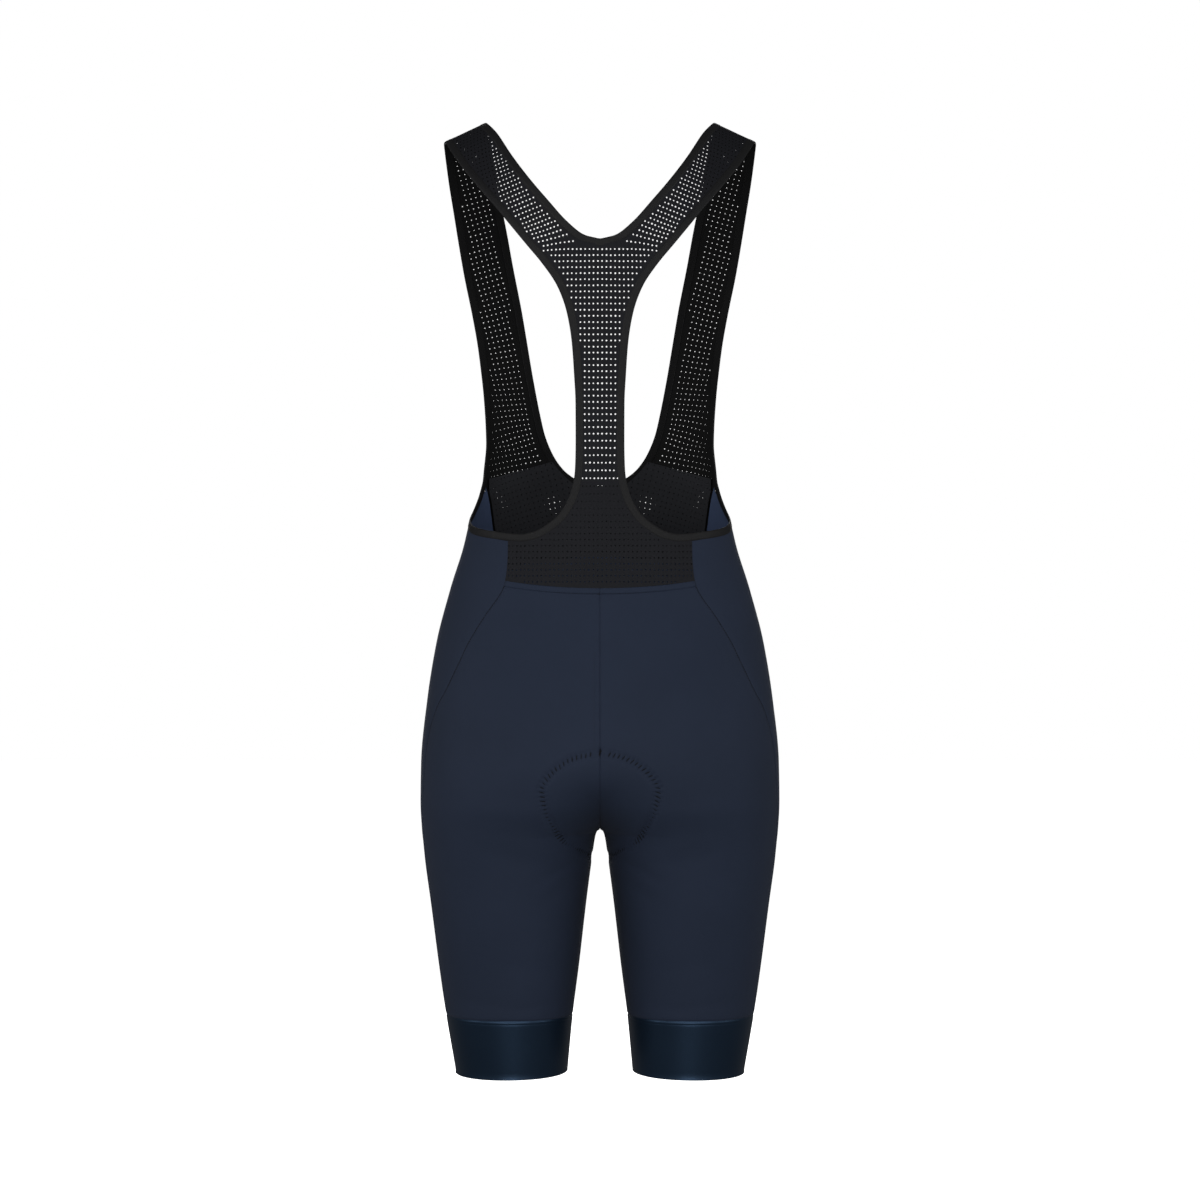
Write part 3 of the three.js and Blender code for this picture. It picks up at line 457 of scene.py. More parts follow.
def back_plain(row, share):
    outer = back_outer(row)
    inner = back_inner(row)
    inner[..., 2] = np.where(row <= BACK_WAIST_ROW, waist_z(BACK_WAIST, inner[..., 0]), inner[..., 2])
    z = mix(outer[..., 2], inner[..., 2], share)
    chord = mix(BACK_ROWS[0][0][0], BACK_ROWS[0][1][0], share)
    shift = np.maximum(1 - row, 0) * (shorts.point(z, back_seam(z))[..., 0] - chord)
    x = mix(outer[..., 0], inner[..., 0], share) + shift
    centred = 1 - smooth_step(row - BACK_NECK_ROW)
    held = mix(outer[..., 1], inner[..., 1], mix(share, 1 - (1 - share) ** 2, centred))
    return np.stack([x, mix(held, on_sections(x, z, 1), back_body(row)), z], -1)


def front_ends(row):
    outer = front_outer(np.minimum(row, FRONT_SEAM_ROW))
    down = np.clip((row - FRONT_SEAM_ROW) / (FRONT_WAIST_ROW - FRONT_SEAM_ROW), 0, 1)
    z = mix(FRONT_SEAM[0][0], FRONT_WAIST["side"], down)
    on_seam = shorts.point(z, front_seam(z))
    past = (FRONT_LAST_ROW - row) / (FRONT_LAST_ROW - FRONT_WAIST_ROW)
    x = FRONT_WAIST["x"] * np.clip(past, 0, 1)
    on_waist = np.stack([x, 0 * x, waist_z(FRONT_WAIST, x)], -1)
    lower = np.where((row > FRONT_WAIST_ROW)[..., None], on_waist, on_seam)
    return np.where((row > FRONT_SEAM_ROW)[..., None], lower, outer), front_inner(row)


def front_plain(row, share):
    outer, inner = front_ends(row)
    x, held, z = np.moveaxis(mix(outer, inner, share[..., None]), -1, 0)
    return np.stack([x, mix(held, on_sections(x, z, -1), front_body(row)), z], -1)


def mirror(points):
    return points * np.array([-1.0, 1.0, 1.0])


def back_point(row, share):
    """The back net's outer face by row and share, carried on past its edges for the normals."""
    row, share = as_arrays(row, share)
    kept = np.clip(row, 0, BACK_LAST_ROW)
    folded = (share > 1) & (back_inner(kept)[..., 0] <= 0)
    found = back_plain(kept, np.where(folded, 2 - share, share))
    found = np.where(folded[..., None], mirror(found), found)
    past = row > BACK_LAST_ROW
    if past.any():
        over = front_plain(np.where(past, row - BACK_LAST_ROW, 0), share)
        found = np.where(past[..., None], over, found)
    return found


def front_point(row, share):
    row, share = as_arrays(row, share)
    folded = row > FRONT_LAST_ROW
    inside = np.where(folded, 2 * FRONT_LAST_ROW - row, row)
    found = front_plain(np.maximum(inside, 0), share)
    found = np.where(folded[..., None], mirror(found), found)
    before = row < 0
    if before.any():
        over = back_plain(np.where(before, BACK_LAST_ROW + row, BACK_LAST_ROW), share)
        found = np.where(before[..., None], over, found)
    return found


ROW_STEP = 0.04
SHARE_STEP = 0.02


def net_normal(point, row, share):
    up = point(row + ROW_STEP, share) - point(row - ROW_STEP, share)
    across = point(row, share + SHARE_STEP) - point(row, share - SHARE_STEP)
    return unit(np.cross(across, up))


# Meshes

SHARP_ANGLE = math.radians(50)


def build_mesh(name, points, faces, material, parts=None):
    """An object from points in millimetres and its faces, with a material index for each face."""
    mesh = bpy.data.meshes.new(name)
    mesh.from_pydata((np.asarray(points) * METRE).tolist(), [], [list(face) for face in faces])
    for used in material if isinstance(material, list) else [material]:
        mesh.materials.append(used)
    if parts is not None:
        mesh.polygons.foreach_set("material_index", np.asarray(parts, np.int32))
    mesh.update()
    mesh.shade_smooth()
    mesh.set_sharp_from_angle(angle=SHARP_ANGLE)
    made = bpy.data.objects.new(name, mesh)
    bpy.context.scene.collection.objects.link(made)
    return made


def grid_faces(rows, columns, closed=False, joined=False):
    """Faces of a grid, closed round its columns and joined from its last row to its first."""
    r, c = np.meshgrid(np.arange(rows - (not joined)), np.arange(columns - (not closed)), indexing="ij")
    below, after = (r + 1) % rows, (c + 1) % columns
    corners = [r * columns + c, r * columns + after, below * columns + after, below * columns + c]
    return np.stack([corner.ravel() for corner in corners], -1)


def facing_out(points, normals, faces):
    a, b, c = (points[faces[:, i]] for i in (0, 1, 2))
    agree = (np.cross(b - a, c - a) * normals[faces[:, 0]]).sum(-1)
    return faces if agree.sum() > 0 else faces[:, ::-1]


def wall(name, points, normals, faces, material, out=0.0, depth=KNIT_WALL):
    """A closed thin cloth wall over the faces: outer face, inner face and a rim round every edge."""
    faces = facing_out(points, normals, faces)
    count = len(points)
    starts = faces.ravel()
    ends = np.roll(faces, -1, axis=1).ravel()
    lone = ~np.isin(starts * count + ends, ends * count + starts)
    a, b = starts[lone], ends[lone]
    rim = np.stack([b, a, a + count, b + count], -1)
    inner = faces[:, ::-1] + count
    both = np.concatenate([points + normals * out, points - normals * depth])
    parts = np.concatenate([np.zeros(len(faces)), np.ones(len(inner) + len(rim))])
    every = [*faces.tolist(), *inner.tolist(), *rim.tolist()]
    return build_mesh(name, both, every, material, parts)


def both_sides(name, make):
    """The same piece on the wearer's left (+X) and right."""
    return [make(f"{name}_left", 1), make(f"{name}_right", -1)]


def sided(points, side):
    return points if side > 0 else mirror(points)


def cloth_grid(name, side, points, normals, rise, material, depth=KNIT_WALL, closed=False):
    """A cloth wall over a grid of the left half raised by rise, or its mirror image on the right."""
    raised = points + normals * rise[..., None]
    flat = [sided(part.reshape(-1, 3), side) for part in (raised, normals)]
    # The inner face and rims take the lighter inside colour, which is painted light.
    return wall(name, *flat, grid_faces(*rise.shape, closed), [material, NAVY_INSIDE_PAINTED_LIGHT], depth=depth)


def place(made, slot, *nodes):
    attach(made, "root")
    if nodes:
        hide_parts(*nodes)
    return made


# Materials

def node_material(name):
    material = bpy.data.materials.new(name)
    material.use_nodes = True
    tree = material.node_tree
    return material, tree, tree.nodes["Principled BSDF"]


def linear(red, green, blue):
    """An 8-bit display colour as linear light."""
    values = [c / 255 for c in (red, green, blue)]
    return [*(v / 12.92 if v <= 0.04045 else ((v + 0.055) / 1.055) ** 2.4 for v in values), 1.0]


def add_node(tree, kind, values):
    node = tree.nodes.new("ShaderNode" + kind)
    set_inputs(node, values)
    return node


def set_inputs(node, values):
    for name, value in values.items():
        node.inputs[name].default_value = value


CLOUD_SCALE = 9
CLOUD_ENDS = (0.3, 0.7)
FUZZ_SCALE = 1200
FUZZ_SHARE = 0.6
RIB_WAVER = 1.2
BUMP_DEPTH = 0.25
BANDS_PER_METRE = 20


def cloth_material(name, dark, light, rib, rough, sheen=0.0, strength=0.15, metal=0.0, along="Z"):
    """Cloth with slow patches of colour and a fine rib of the given pitch in millimetres."""
    material, tree, shader = node_material(name)
    place_node = add_node(tree, "TexCoord", {})
    cloud = add_node(tree, "TexNoise", {"Scale": CLOUD_SCALE, "Detail": 3})
    ramp = add_node(tree, "ValToRGB", {})
    for element, position, colour in zip(ramp.color_ramp.elements, CLOUD_ENDS, (dark, light)):
        element.position = position
        element.color = linear(*colour)
    pitch = 2 * math.pi / (BANDS_PER_METRE * rib * METRE)
    ribs = add_node(tree, "TexWave", {"Scale": pitch, "Distortion": RIB_WAVER, "Detail": 1})
    ribs.bands_direction = along
    fuzz = add_node(tree, "TexNoise", {"Scale": FUZZ_SCALE})
    both = add_node(tree, "Math", {1: FUZZ_SHARE})
    both.operation = "MULTIPLY_ADD"
    bump = add_node(tree, "Bump", {"Strength": strength, "Distance": BUMP_DEPTH * METRE})
    ends = [(place_node.outputs["Object"], node.inputs["Vector"]) for node in (cloud, ribs, fuzz)]
    ends += [
        (cloud.outputs["Fac"], ramp.inputs["Fac"]),
        (ramp.outputs["Color"], shader.inputs["Base Color"]),
        (fuzz.outputs["Fac"], both.inputs[0]),
        (ribs.outputs["Fac"], both.inputs[2]),
        (both.outputs["Value"], bump.inputs["Height"]),
        (bump.outputs["Normal"], shader.inputs["Normal"]),
    ]
    for start, end in ends:
        tree.links.new(start, end)
    set_inputs(shader, {"Roughness": rough, "Specular IOR Level": 0.25, "Metallic": metal})
    set_inputs(shader, {"Sheen Weight": sheen, "Sheen Roughness": 0.5})
    return material


NAVY = cloth_material("navy_knit", (33, 43, 62), (37, 47, 67), 0.9, 0.78, sheen=0.03)
# The knit's inner face is painted much lighter than its outer face: painted light standing in for the light
# that reaches the inside of the worn garment.
NAVY_INSIDE_PAINTED_LIGHT = cloth_material("navy_knit_inside_painted_light", (56, 69, 96), (60, 73, 101), 0.9, 0.85)
SATIN = cloth_material("satin_gripper", (40, 57, 77), (44, 62, 83), 0.5, 0.38, strength=0.05, metal=0.75)
NET = cloth_material("black_net", (18, 19, 25), (22, 23, 29), 0.7, 0.7)
# The nets' inner faces are near black: painted shade, for the inside of the bib lying in shadow.
NET_INSIDE_PAINTED_SHADE = cloth_material("black_net_inside_painted_shade", (3, 3, 4), (5, 5, 6), 0.7, 0.85)
LINING = cloth_material("inner_net", (33, 34, 38), (38, 39, 43), 0.7, 0.85)
TAPE = cloth_material("edge_tape", (22, 22, 24), (27, 27, 28), 0.6, 0.6, along="X")
# The tapes' inner sides are near black: painted shade, for the inside of the garment lying in shadow.
TAPE_INSIDE_PAINTED_SHADE = cloth_material("edge_tape_inside", (4, 4, 5), (6, 6, 7), 0.6, 0.8, along="X")
PAD = cloth_material("seat_pad", (36, 43, 58), (42, 49, 66), 1.2, 0.9)
THREAD = cloth_material("navy_thread", (24, 30, 43), (30, 37, 52), 0.3, 0.6)
# Near-black thread: the real dark thread of the waist coverstitch and bar tack, and in the side seams and
# the pad's zigzag also painted shade of the seam grooves and puckers.
DARK_THREAD_AND_PAINTED_SHADE = cloth_material("dark_thread_and_painted_shade", (6, 10, 16), (10, 15, 23), 0.3, 0.7)
TAPE_THREAD = cloth_material("black_thread", (24, 24, 26), (32, 32, 34), 0.3, 0.5)


# Panels of the shorts

STEADY_SHARE = 0.55
STEADY_TOP = -625
STEADY_FOOT = -690
STEADY_END = -790
NEAR_EDGE = np.array([0.0, 0.5, 1.1, 1.9, 3.0])
FINE_SHARE = 0.32
FINE_TOP = -578
FINE_FOOT = -708
FINE_STEP = 1.3
COARSE_STEP = 3.0
TOP_STEPS = 12
EDGE_SHARE = 0.03
FINE_COLUMNS = 54
COARSE_COLUMNS = 44
SHARE_WIDTH = 200
BAND_ROWS = np.array([0, 0.4, 0.9, 1.5, 2.2, 3.2, 4.1, 4.7, 5.3, 5.9, 6.6, 7.6, 9.5, 12, 15])
FOOT_ROWS = np.array([2.4, 1.5, 0.8, 0.3, 0.0])


def start_gap(z):
    return np.where(z > CROTCH_Z, 0, SEAM_CLOSE)


def arc_from_seam(share, z, width_at):
    """Arc from a side seam towards the mid-line. Near the seam the columns keep their spacing."""
    width = width_at(z)
    ease = smooth_step((STEADY_FOOT - z) / (STEADY_FOOT - STEADY_END))
    top = float(width_at(np.array(float(STEADY_TOP))))
    steady = np.where(z > STEADY_TOP, width, mix(top, width, ease))
    rest = (share - STEADY_SHARE) / (1 - STEADY_SHARE)
    return np.where(share <= STEADY_SHARE, share * steady, mix(STEADY_SHARE * steady, width, rest))


def panel_heights(fine):
    """Heights from the level line to the cuff seam, closer together over the seat pad."""
    foot = CUFF_SEAM_Z + SEAM_CLOSE
    if not fine:
        return np.linspace(LEVEL_Z, foot, int((LEVEL_Z - foot) / COARSE_STEP))
    parts = [
        np.arange(LEVEL_Z, FINE_TOP, -COARSE_STEP),
        np.arange(FINE_TOP, FINE_FOOT, -FINE_STEP),
        np.arange(FINE_FOOT, foot + COARSE_STEP, -COARSE_STEP),
        foot + FOOT_ROWS,
    ]
    return np.concatenate(parts)


def panel_grid(sign):
    """The back (+1) or front (-1) panel of the left half as grids of height and arc from its mid-line."""
    waist = BACK_WAIST if sign > 0 else FRONT_WAIST
    seam_at = back_seam if sign > 0 else (lambda z: shorts.total(z) - front_seam(z))

    def width_at(z):
        return seam_at(z) - SEAM_CLOSE - start_gap(z)

    fine = np.linspace(EDGE_SHARE, FINE_SHARE, FINE_COLUMNS)[:-1]
    coarse = np.linspace(FINE_SHARE, 1 - EDGE_SHARE, COARSE_COLUMNS)
    x_shares = np.concatenate([NEAR_EDGE / SHARE_WIDTH, fine, coarse, 1 - NEAR_EDGE[::-1] / SHARE_WIDTH])
    top = waist_z(waist, waist["x"] * x_shares) - SEAM_CLOSE
    first = top[None] - BAND_ROWS[:, None]
    second = mix(first[-1:], LEVEL_Z, np.linspace(0, 1, TOP_STEPS)[1:-1, None])
    level = np.repeat(panel_heights(True)[:, None], len(x_shares), 1)
    z = np.concatenate([first, second, level])
    start = start_gap(z[:, :1])
    count = len(NEAR_EDGE)
    width = width_at(z)
    arc = width - arc_from_seam(1 - x_shares[None], z, width_at) + start
    arc[:, :count] = start + NEAR_EDGE[None]
    arc[:, -count:] = (start + width)[:, -count:] - NEAR_EDGE[None, ::-1]
    return z, arc, width


# Folds and seams of the outer face, in millimetres: a band below the waist seam, soft dips at the
# seams, and the puckers that the pad's stitching draws into the cloth
DIP_DEPTH = 0.7
DIP_WIDTH = 1.2
MIDDLE_DIP = 0.8
MIDDLE_DIP_WIDTH = 0.75
BAND_FOOT = 5.3
BAND_FOOT_EASE = 0.6
BAND_EASE = 0.8
BAND_RISE = 0.35
GROOVE = 0.45
GROOVE_WIDTH = 0.55


def dip(distance, depth=DIP_DEPTH, width=DIP_WIDTH):
    return -depth * np.exp(-(distance / width) ** 2)


def waist_band(below):
    foot = smooth_step((below - BAND_FOOT + BAND_FOOT_EASE) / BAND_FOOT_EASE)
    rise = BAND_RISE * smooth_step(below / BAND_EASE) * (1 - foot)
    return rise + dip(below - BAND_FOOT, GROOVE, GROOVE_WIDTH)


# The seat pad's outline on the left half, from its back end down to the crotch and up to its front
# end: behind (1) or in front (-1), the heights of its middle and edge, then the edge's arc or y
OUTLINE_POINTS = 600
PAD_ROWS = [
    (1, -590, -590, "arc", 0),
    (1, -594, -595, "arc", 22),
    (1, -606, -607, "arc", 42),
    (1, -622, -625, "arc", 54),
    (1, -636, -645, "arc", 56),
    (1, -648, -662, "y", 108),
    (1, -658, -676, "y", 90),
    (1, -664, -686, "y", 62),
    (1, -667, -692, "y", 34),
    (0, -668, -694, "arc", 0),
    (-1, -667, -692, "y", -14),
    (-1, -664, -686, "y", -34),
    (-1, -658, -674, "y", -50),
    (-1, -646, -658, "arc", 40),
    (-1, -628, -632, "arc", 40),
    (-1, -610, -611, "arc", 34),
    (-1, -594, -595, "arc", 20),
    (-1, -588, -588, "arc", 0),
]


def arc_of_depth(z, y, side):
    """The arc on the inside of the leg, or near the mid-line, where the section has that depth."""
    total = float(shorts.total(z))
    far = float(shorts.arc_of_turn(z, np.array(side * math.pi / 2)))
    arcs = np.linspace(0 if side > 0 else total, far, 400)
    return float(np.interp(side * y, side * shorts.point(z, arcs)[:, 1], arcs))


def pad_outline():
    """Points along the pad's outline on the outer face."""
    marks = []
    for side, _, edge_z, kind, value in PAD_ROWS:
        z = np.array(float(edge_z))
        arc = arc_of_depth(z, value, side) if kind == "y" else round_arc(z, value, side)
        marks.append(shorts.point(z, arc))
    return smooth_line(marks)(np.linspace(0, len(marks) - 1, OUTLINE_POINTS))


CHUNK = 4000


def along_line(points, line):
    """The distance from each point to a chain of points, and how far along the chain it is."""
    lengths = run_lengths(line)
    found = []
    for start in range(0, len(points), CHUNK):
        gaps = np.linalg.norm(points[start:start + CHUNK, None] - line[None], axis=-1)
        found.append((gaps.min(1), lengths[gaps.argmin(1)]))
    return end_to_end(found)


PUCKER_PITCH = 4.4
PUCKER_REACH = 4.6
PUCKER_DEPTH = 1.0
RING_DEPTH = 0.4


def puckers(points):
    """How far the pad's zigzag stitching draws the outer face in."""
    distance, place = along_line(points, pad_outline())
    fade = np.exp(-(distance / PUCKER_REACH) ** 4)
    wave = 0.5 + 0.5 * np.cos(2 * math.pi * place / PUCKER_PITCH)
    return -fade * (RING_DEPTH + PUCKER_DEPTH * wave)


# Soft creases of the worn cloth, troughs where depth is above 0 and ridges below it: the side of the
# garment, from and to by distance from the mid-plane and height, depth and width in millimetres
CREASES = [
    (1, (12, -690), (64, -716), 0.9, 6),
    (1, (16, -704), (58, -738), 0.7, 7),
    (1, (40, -655), (120, -640), -0.5, 11),
    (1, (34, -700), (128, -678), 0.6, 9),
    (1, (62, -560), (138, -585), 0.5, 12),
    (1, (95, -500), (128, -540), 0.5, 9),
    (1, (36, -800), (116, -786), 0.4, 8),
    (1, (60, -834), (138, -826), 0.45, 6),
    (1, (38, -828), (90, -838), 0.35, 5),
    (-1, (8, -664), (60, -634), 1.1, 6),
    (-1, (14, -678), (84, -660), 1.0, 6),
    (-1, (20, -696), (70, -700), 0.8, 7),
    (-1, (26, -606), (84, -588), 0.6, 9),
    (-1, (70, -560), (130, -540), 0.6, 10),
    (-1, (30, -500), (96, -478), 0.5, 10),
    (-1, (44, -770), (118, -752), 0.5, 8),
    (-1, (52, -832), (128, -824), 0.45, 6),
    (-1, (60, -446), (100, -436), 0.4, 6),
]


CREASE_TAPER = 0.7


def creases(points, sign):
    """How far the creases on one side move the outer face, all of them fading at their ends."""
    rise = np.zeros(len(points))
    place = points[:, [0, 2]]
    for side, start, end, depth, width in CREASES:
        if side != sign:
            continue
        run = np.subtract(end, start)
        along = (place - start) @ run / (run @ run)
        off = np.linalg.norm(place - start - np.clip(along, 0, 1)[:, None] * run, axis=1)
        taper = np.sin(math.pi * np.clip(along, 0, 1)) ** CREASE_TAPER
        rise -= depth * taper * np.exp(-(off / width) ** 2)
    return rise


def panel(name, side, sign):
    z, arc, width = panel_grid(sign)
    true_arc = round_arc(z, arc, sign)
    points = shorts.point(z, true_arc)
    normals = shorts.normal(z, true_arc)
    middle = (arc < 1e-6) & (z > CROTCH_Z)
    points[..., 0] = np.where(middle, 0, points[..., 0])
    past_start = arc - start_gap(z)
    before_end = start_gap(z) + width - arc
    rise = dip(past_start, MIDDLE_DIP, MIDDLE_DIP_WIDTH) + dip(before_end) + dip(z - CUFF_SEAM_Z)
    flat = points.reshape(-1, 3)
    for moved in (waist_band(z[:1] - z), puckers(flat), creases(flat, sign)):
        rise = rise + moved.reshape(z.shape)
    return cloth_grid(name, side, points, normals, rise, NAVY)


# Edges of the openings, as chains of points with the outward direction

def chain(point, rows, share):
    return point(rows, share), net_normal(point, rows, share)


def side_arc(share, z):
    return mix(back_seam(z), front_seam(z), share)


def armhole_chain():
    back = chain(back_point, np.linspace(BACK_LAST_ROW, 0, 260), 0)
    share = np.linspace(0, 1, 60)
    z = armhole_z(share)
    arc = side_arc(share, z)
    front = chain(front_point, np.linspace(FRONT_SEAM_ROW, 0, 170), 0)
    return end_to_end([back, (shorts.point(z, arc), shorts.normal(z, arc)), front])


def neck_chain():
    back = chain(back_point, np.linspace(BACK_NECK_ROW, BACK_LAST_ROW, 110), 1)
    front = chain(front_point, np.linspace(0, FRONT_LAST_ROW, 220), 1)
    return [np.concatenate([part, mirror(part[::-1])]) for part in end_to_end([back, front])]


LEAST_GAP = 0.02
EDGE_STEP = 1.5
INSET_STEPS = 160
TAPE_COVER = TAPE_WIDTH - TUCK


def evenly(points, normals, step, smoothing=3):
    """A closed chain again at even steps, lightly smoothed."""
    keep = np.concatenate([[True], np.linalg.norm(np.diff(points, axis=0), axis=1) > LEAST_GAP])
    looped = [np.concatenate([part[keep], part[:1]]) for part in (points, normals)]
    lengths = run_lengths(looped[0])
    count = int(lengths[-1] / step)
    places = np.arange(count) * lengths[-1] / count
    even = [at_lengths(part, lengths, places) for part in looped]
    for _ in range(smoothing):
        even = [(np.roll(part, 1, 0) + 2 * part + np.roll(part, -1, 0)) / 4 for part in even]
    return even[0], unit(even[1])


def edge_gaps(points, edge):
    """How far points lie from an opening's edge."""
    gaps, _ = along_line(points.reshape(-1, 3), evenly(*edge, EDGE_STEP, smoothing=0)[0])
    return gaps.reshape(points.shape[:-1])


ARMHOLE_EDGE = armhole_chain()
NECK_EDGE = neck_chain()
TAPE_STEP = 2.5
TAPE_SIDES = 20
TAPE_SQUARE = 3.5
TAPE_PAINTED_SHADE_BELOW = -0.55


def tape_frames(edge, step):
    """Even stations along a loop's edge: the place, the way into the cloth and the way out of it."""
    points, normals = evenly(*edge, step)
    ahead = unit(np.roll(points, -1, 0) - np.roll(points, 1, 0))
    into = unit(np.cross(normals, ahead))
    if ((points - points.mean(0)) * into).sum() < 0:
        into = -into
    return points, into, unit(np.cross(ahead, into) * np.sign((np.cross(ahead, into) * normals).sum()))


def tape(name, edge, side):
    points, into, out = tape_frames(edge, TAPE_STEP)
    turns = np.arange(TAPE_SIDES) * 2 * math.pi / TAPE_SIDES
    along = np.cos(turns)
    across = np.sin(turns)
    size = (np.abs(along) ** TAPE_SQUARE + np.abs(across) ** TAPE_SQUARE) ** (-1 / TAPE_SQUARE)
    reach = TAPE_WIDTH / 2 * (1 + along * size)
    height = (TAPE_PROUD - TAPE_DEPTH) / 2 + (TAPE_PROUD + TAPE_DEPTH) / 2 * across * size
    rings = points[:, None] + into[:, None] * reach[None, :, None] + out[:, None] * height[None, :, None]
    flat = rings.reshape(-1, 3)
    centres = np.repeat(rings.mean(1), TAPE_SIDES, axis=0)
    faces = facing_out(flat, flat - centres, grid_faces(len(points), TAPE_SIDES, closed=True, joined=True))
    if side < 0:
        flat, faces = mirror(flat), faces[:, ::-1]
    # Faces on the tape's inner side take the near-black inside colour, which is painted shade.
    in_painted_shade = np.tile(across * size < TAPE_PAINTED_SHADE_BELOW, len(points))
    parts = in_painted_shade[faces].sum(1) >= 3
    return build_mesh(name, flat, faces.tolist(), [TAPE, TAPE_INSIDE_PAINTED_SHADE], parts)


def inset(path, edge):
    """For each path, the share along it where the cover of an edge's tape ends."""
    shares = np.linspace(0, 1, INSET_STEPS)
    return shares[(edge_gaps(path(shares), edge) >= TAPE_COVER).argmax(-1)]


SIDE_COLUMNS = 28
SIDE_DROP = 24
SIDE_NEAR_EDGE = 1.0


def side_panel(name, side):
    share = np.linspace(0, 1, SIDE_COLUMNS)
    top = armhole_z(share)

    def path(t):
        z = top[:, None] - SIDE_DROP * t[None]
        return shorts.point(z, side_arc(share[:, None], z))

    start = top - SIDE_DROP * inset(path, ARMHOLE_EDGE)
    upper = mix(start[None], LEVEL_Z, np.linspace(0, 1, 30)[:-1, None])
    z = np.concatenate([upper, np.repeat(panel_heights(False)[:, None], SIDE_COLUMNS, 1)])
    low = back_seam(z) + SEAM_CLOSE
    high = front_seam(z) - SEAM_CLOSE
    arc = mix(low, high, share[None])
    arc[:, 1] = low[:, 1] + SIDE_NEAR_EDGE
    arc[:, -2] = high[:, -2] - SIDE_NEAR_EDGE
    rise = dip(arc - low) + dip(high - arc) + dip(z - CUFF_SEAM_Z)
    return cloth_grid(name, side, shorts.point(z, arc), shorts.normal(z, arc), rise, NAVY)


CUFF_LINE = 3.4
CUFF_GROOVE = 0.2
CUFF_COLUMNS = 180
CUFF_ROWS = np.concatenate([
    [0, 0.4, 0.9, 1.6, 2.4, 3, 3.4, 3.8, 4.4], np.linspace(6, 49, 17), [51, 52.2, 53],
])


def cuff(name, side):
    share = np.arange(CUFF_COLUMNS) / CUFF_COLUMNS
    hem = np.array(float(HEM_Z))
    lowest = float(shorts.arc_of_turn(hem, np.array(math.radians(HEM_DROP_TURN))) / shorts.total(hem))
    drop = HEM_DROP * np.cos(math.pi * (share - lowest)) ** 2
    top = CUFF_SEAM_Z - SEAM_CLOSE
    z = top - CUFF_ROWS[:, None] * (top - HEM_Z + drop[None]) / CUFF_ROWS[-1]
    arc = share[None] * shorts.total(z)
    rise = dip(top - z) + dip(top - z - CUFF_LINE, CUFF_GROOVE, GROOVE_WIDTH)
    return cloth_grid(
        name, side, shorts.point(z, arc), shorts.normal(z, arc), rise, SATIN, CUFF_WALL, closed=True,
    )


# The nets' rows of holes. The lattice is even in the flat cloth, and the worn cloth stretches it: a
# height, then the spacing of the columns and of the rows in millimetres
NET_STRETCH = [
    (-440, 4.1, 5.6),
    (-380, 4.1, 5.7),
    (-341, 3.6, 7.4),
    (-308, 3.9, 6.8),
    (-265, 4.1, 5.7),
    (-180, 4.1, 5.7),
    (-100, 3.9, 5.5),
]
ARM_LATTICE = (3.6, 5.0, math.radians(19))
ARM_JOIN_ROW = 15
ARM_JOIN_ROWS = 2.5
FRONT_COLUMN = 5.0
FRONT_ROW = 5.4
FRONT_TURN = math.radians(11.5)
STRAP_LATTICE = (FRONT_COLUMN, FRONT_ROW, math.radians(4))
STRAP_STATIONS = 300
FRONT_SOFT = 20
FRONT_FAN = 90
FRONT_LEVEL = 370
FRONT_JOIN_ROW = 10.5
FRONT_JOIN_ROWS = 3.0
BACK_HOLE = 0.76
FRONT_HOLE = 0.5
LINING_HOLE = 0.62
HOLE_SIDES = 10
SEAM_MARGIN = 1.2
BACK_MARGIN = 3.0
FRONT_ARM_MARGIN = 3.6
FRONT_NECK_MARGIN = 5.5
FRONT_SIDE_MARGIN = 6.5
HOLE_SCATTER = 0.13
HOLE_VARIETY = 0.07
BORDER_STEP = 2.5
SECTIONS_TOP = -300
SAME_PLACE = 1e-6
MIDDLE_X = 0.02

stretch = table_curves(NET_STRETCH, ("z", "column", "row"))
heights_up = np.arange(-460.0, 20.0)
rows_up = np.concatenate([[0], np.cumsum(1 / stretch["row"](heights_up[:-1] + 0.5))])


def body_lattice(points):
    """Column and row numbers by place on the back, with the mid-line halfway between two columns."""
    x, z = points[..., 0], points[..., 2]
    arc = shorts.arc_of_x(np.minimum(z, SECTIONS_TOP), x, 1)
    return np.stack([arc / stretch["column"](z) + 0.5, np.interp(z, heights_up, rows_up)], -1)


def turned(aside, along, column, pitch, turn):
    """Column and row numbers of a lattice at a turn, from distances in millimetres."""
    return np.stack([
        (aside * math.cos(turn) + along * math.sin(turn)) / column,
        (along * math.cos(turn) - aside * math.sin(turn)) / pitch,
    ], -1)


def strap_lattice(point, row, share, rows, pattern):
    """Column and row numbers along a strap, whose flat pattern is straight at a turn to the lattice."""
    fine = np.linspace(*rows, STRAP_STATIONS)
    middle = point(fine, 0.5)
    ahead = unit(np.gradient(middle, axis=0))
    across = point(fine, 0) - point(fine, 1)
    side = (0.5 - share) * np.interp(row, fine, np.linalg.norm(across, axis=1))
    lean = np.interp(row, fine, (unit(across) * ahead).sum(-1))
    along = np.interp(row, fine, run_lengths(middle)) + side * lean
    return turned(side * np.sqrt(1 - lean ** 2), along, *pattern)


def both_lattices(point, body, row, share, rows, pattern, join_row):
    """The body's lattice and the strap's, which is moved to meet it at the join."""
    join = np.array([float(join_row)]), np.array([0.5])
    shift = body(point(*join)) - strap_lattice(point, *join, rows, pattern)
    return body(point(row, share)), strap_lattice(point, row, share, rows, pattern) + shift


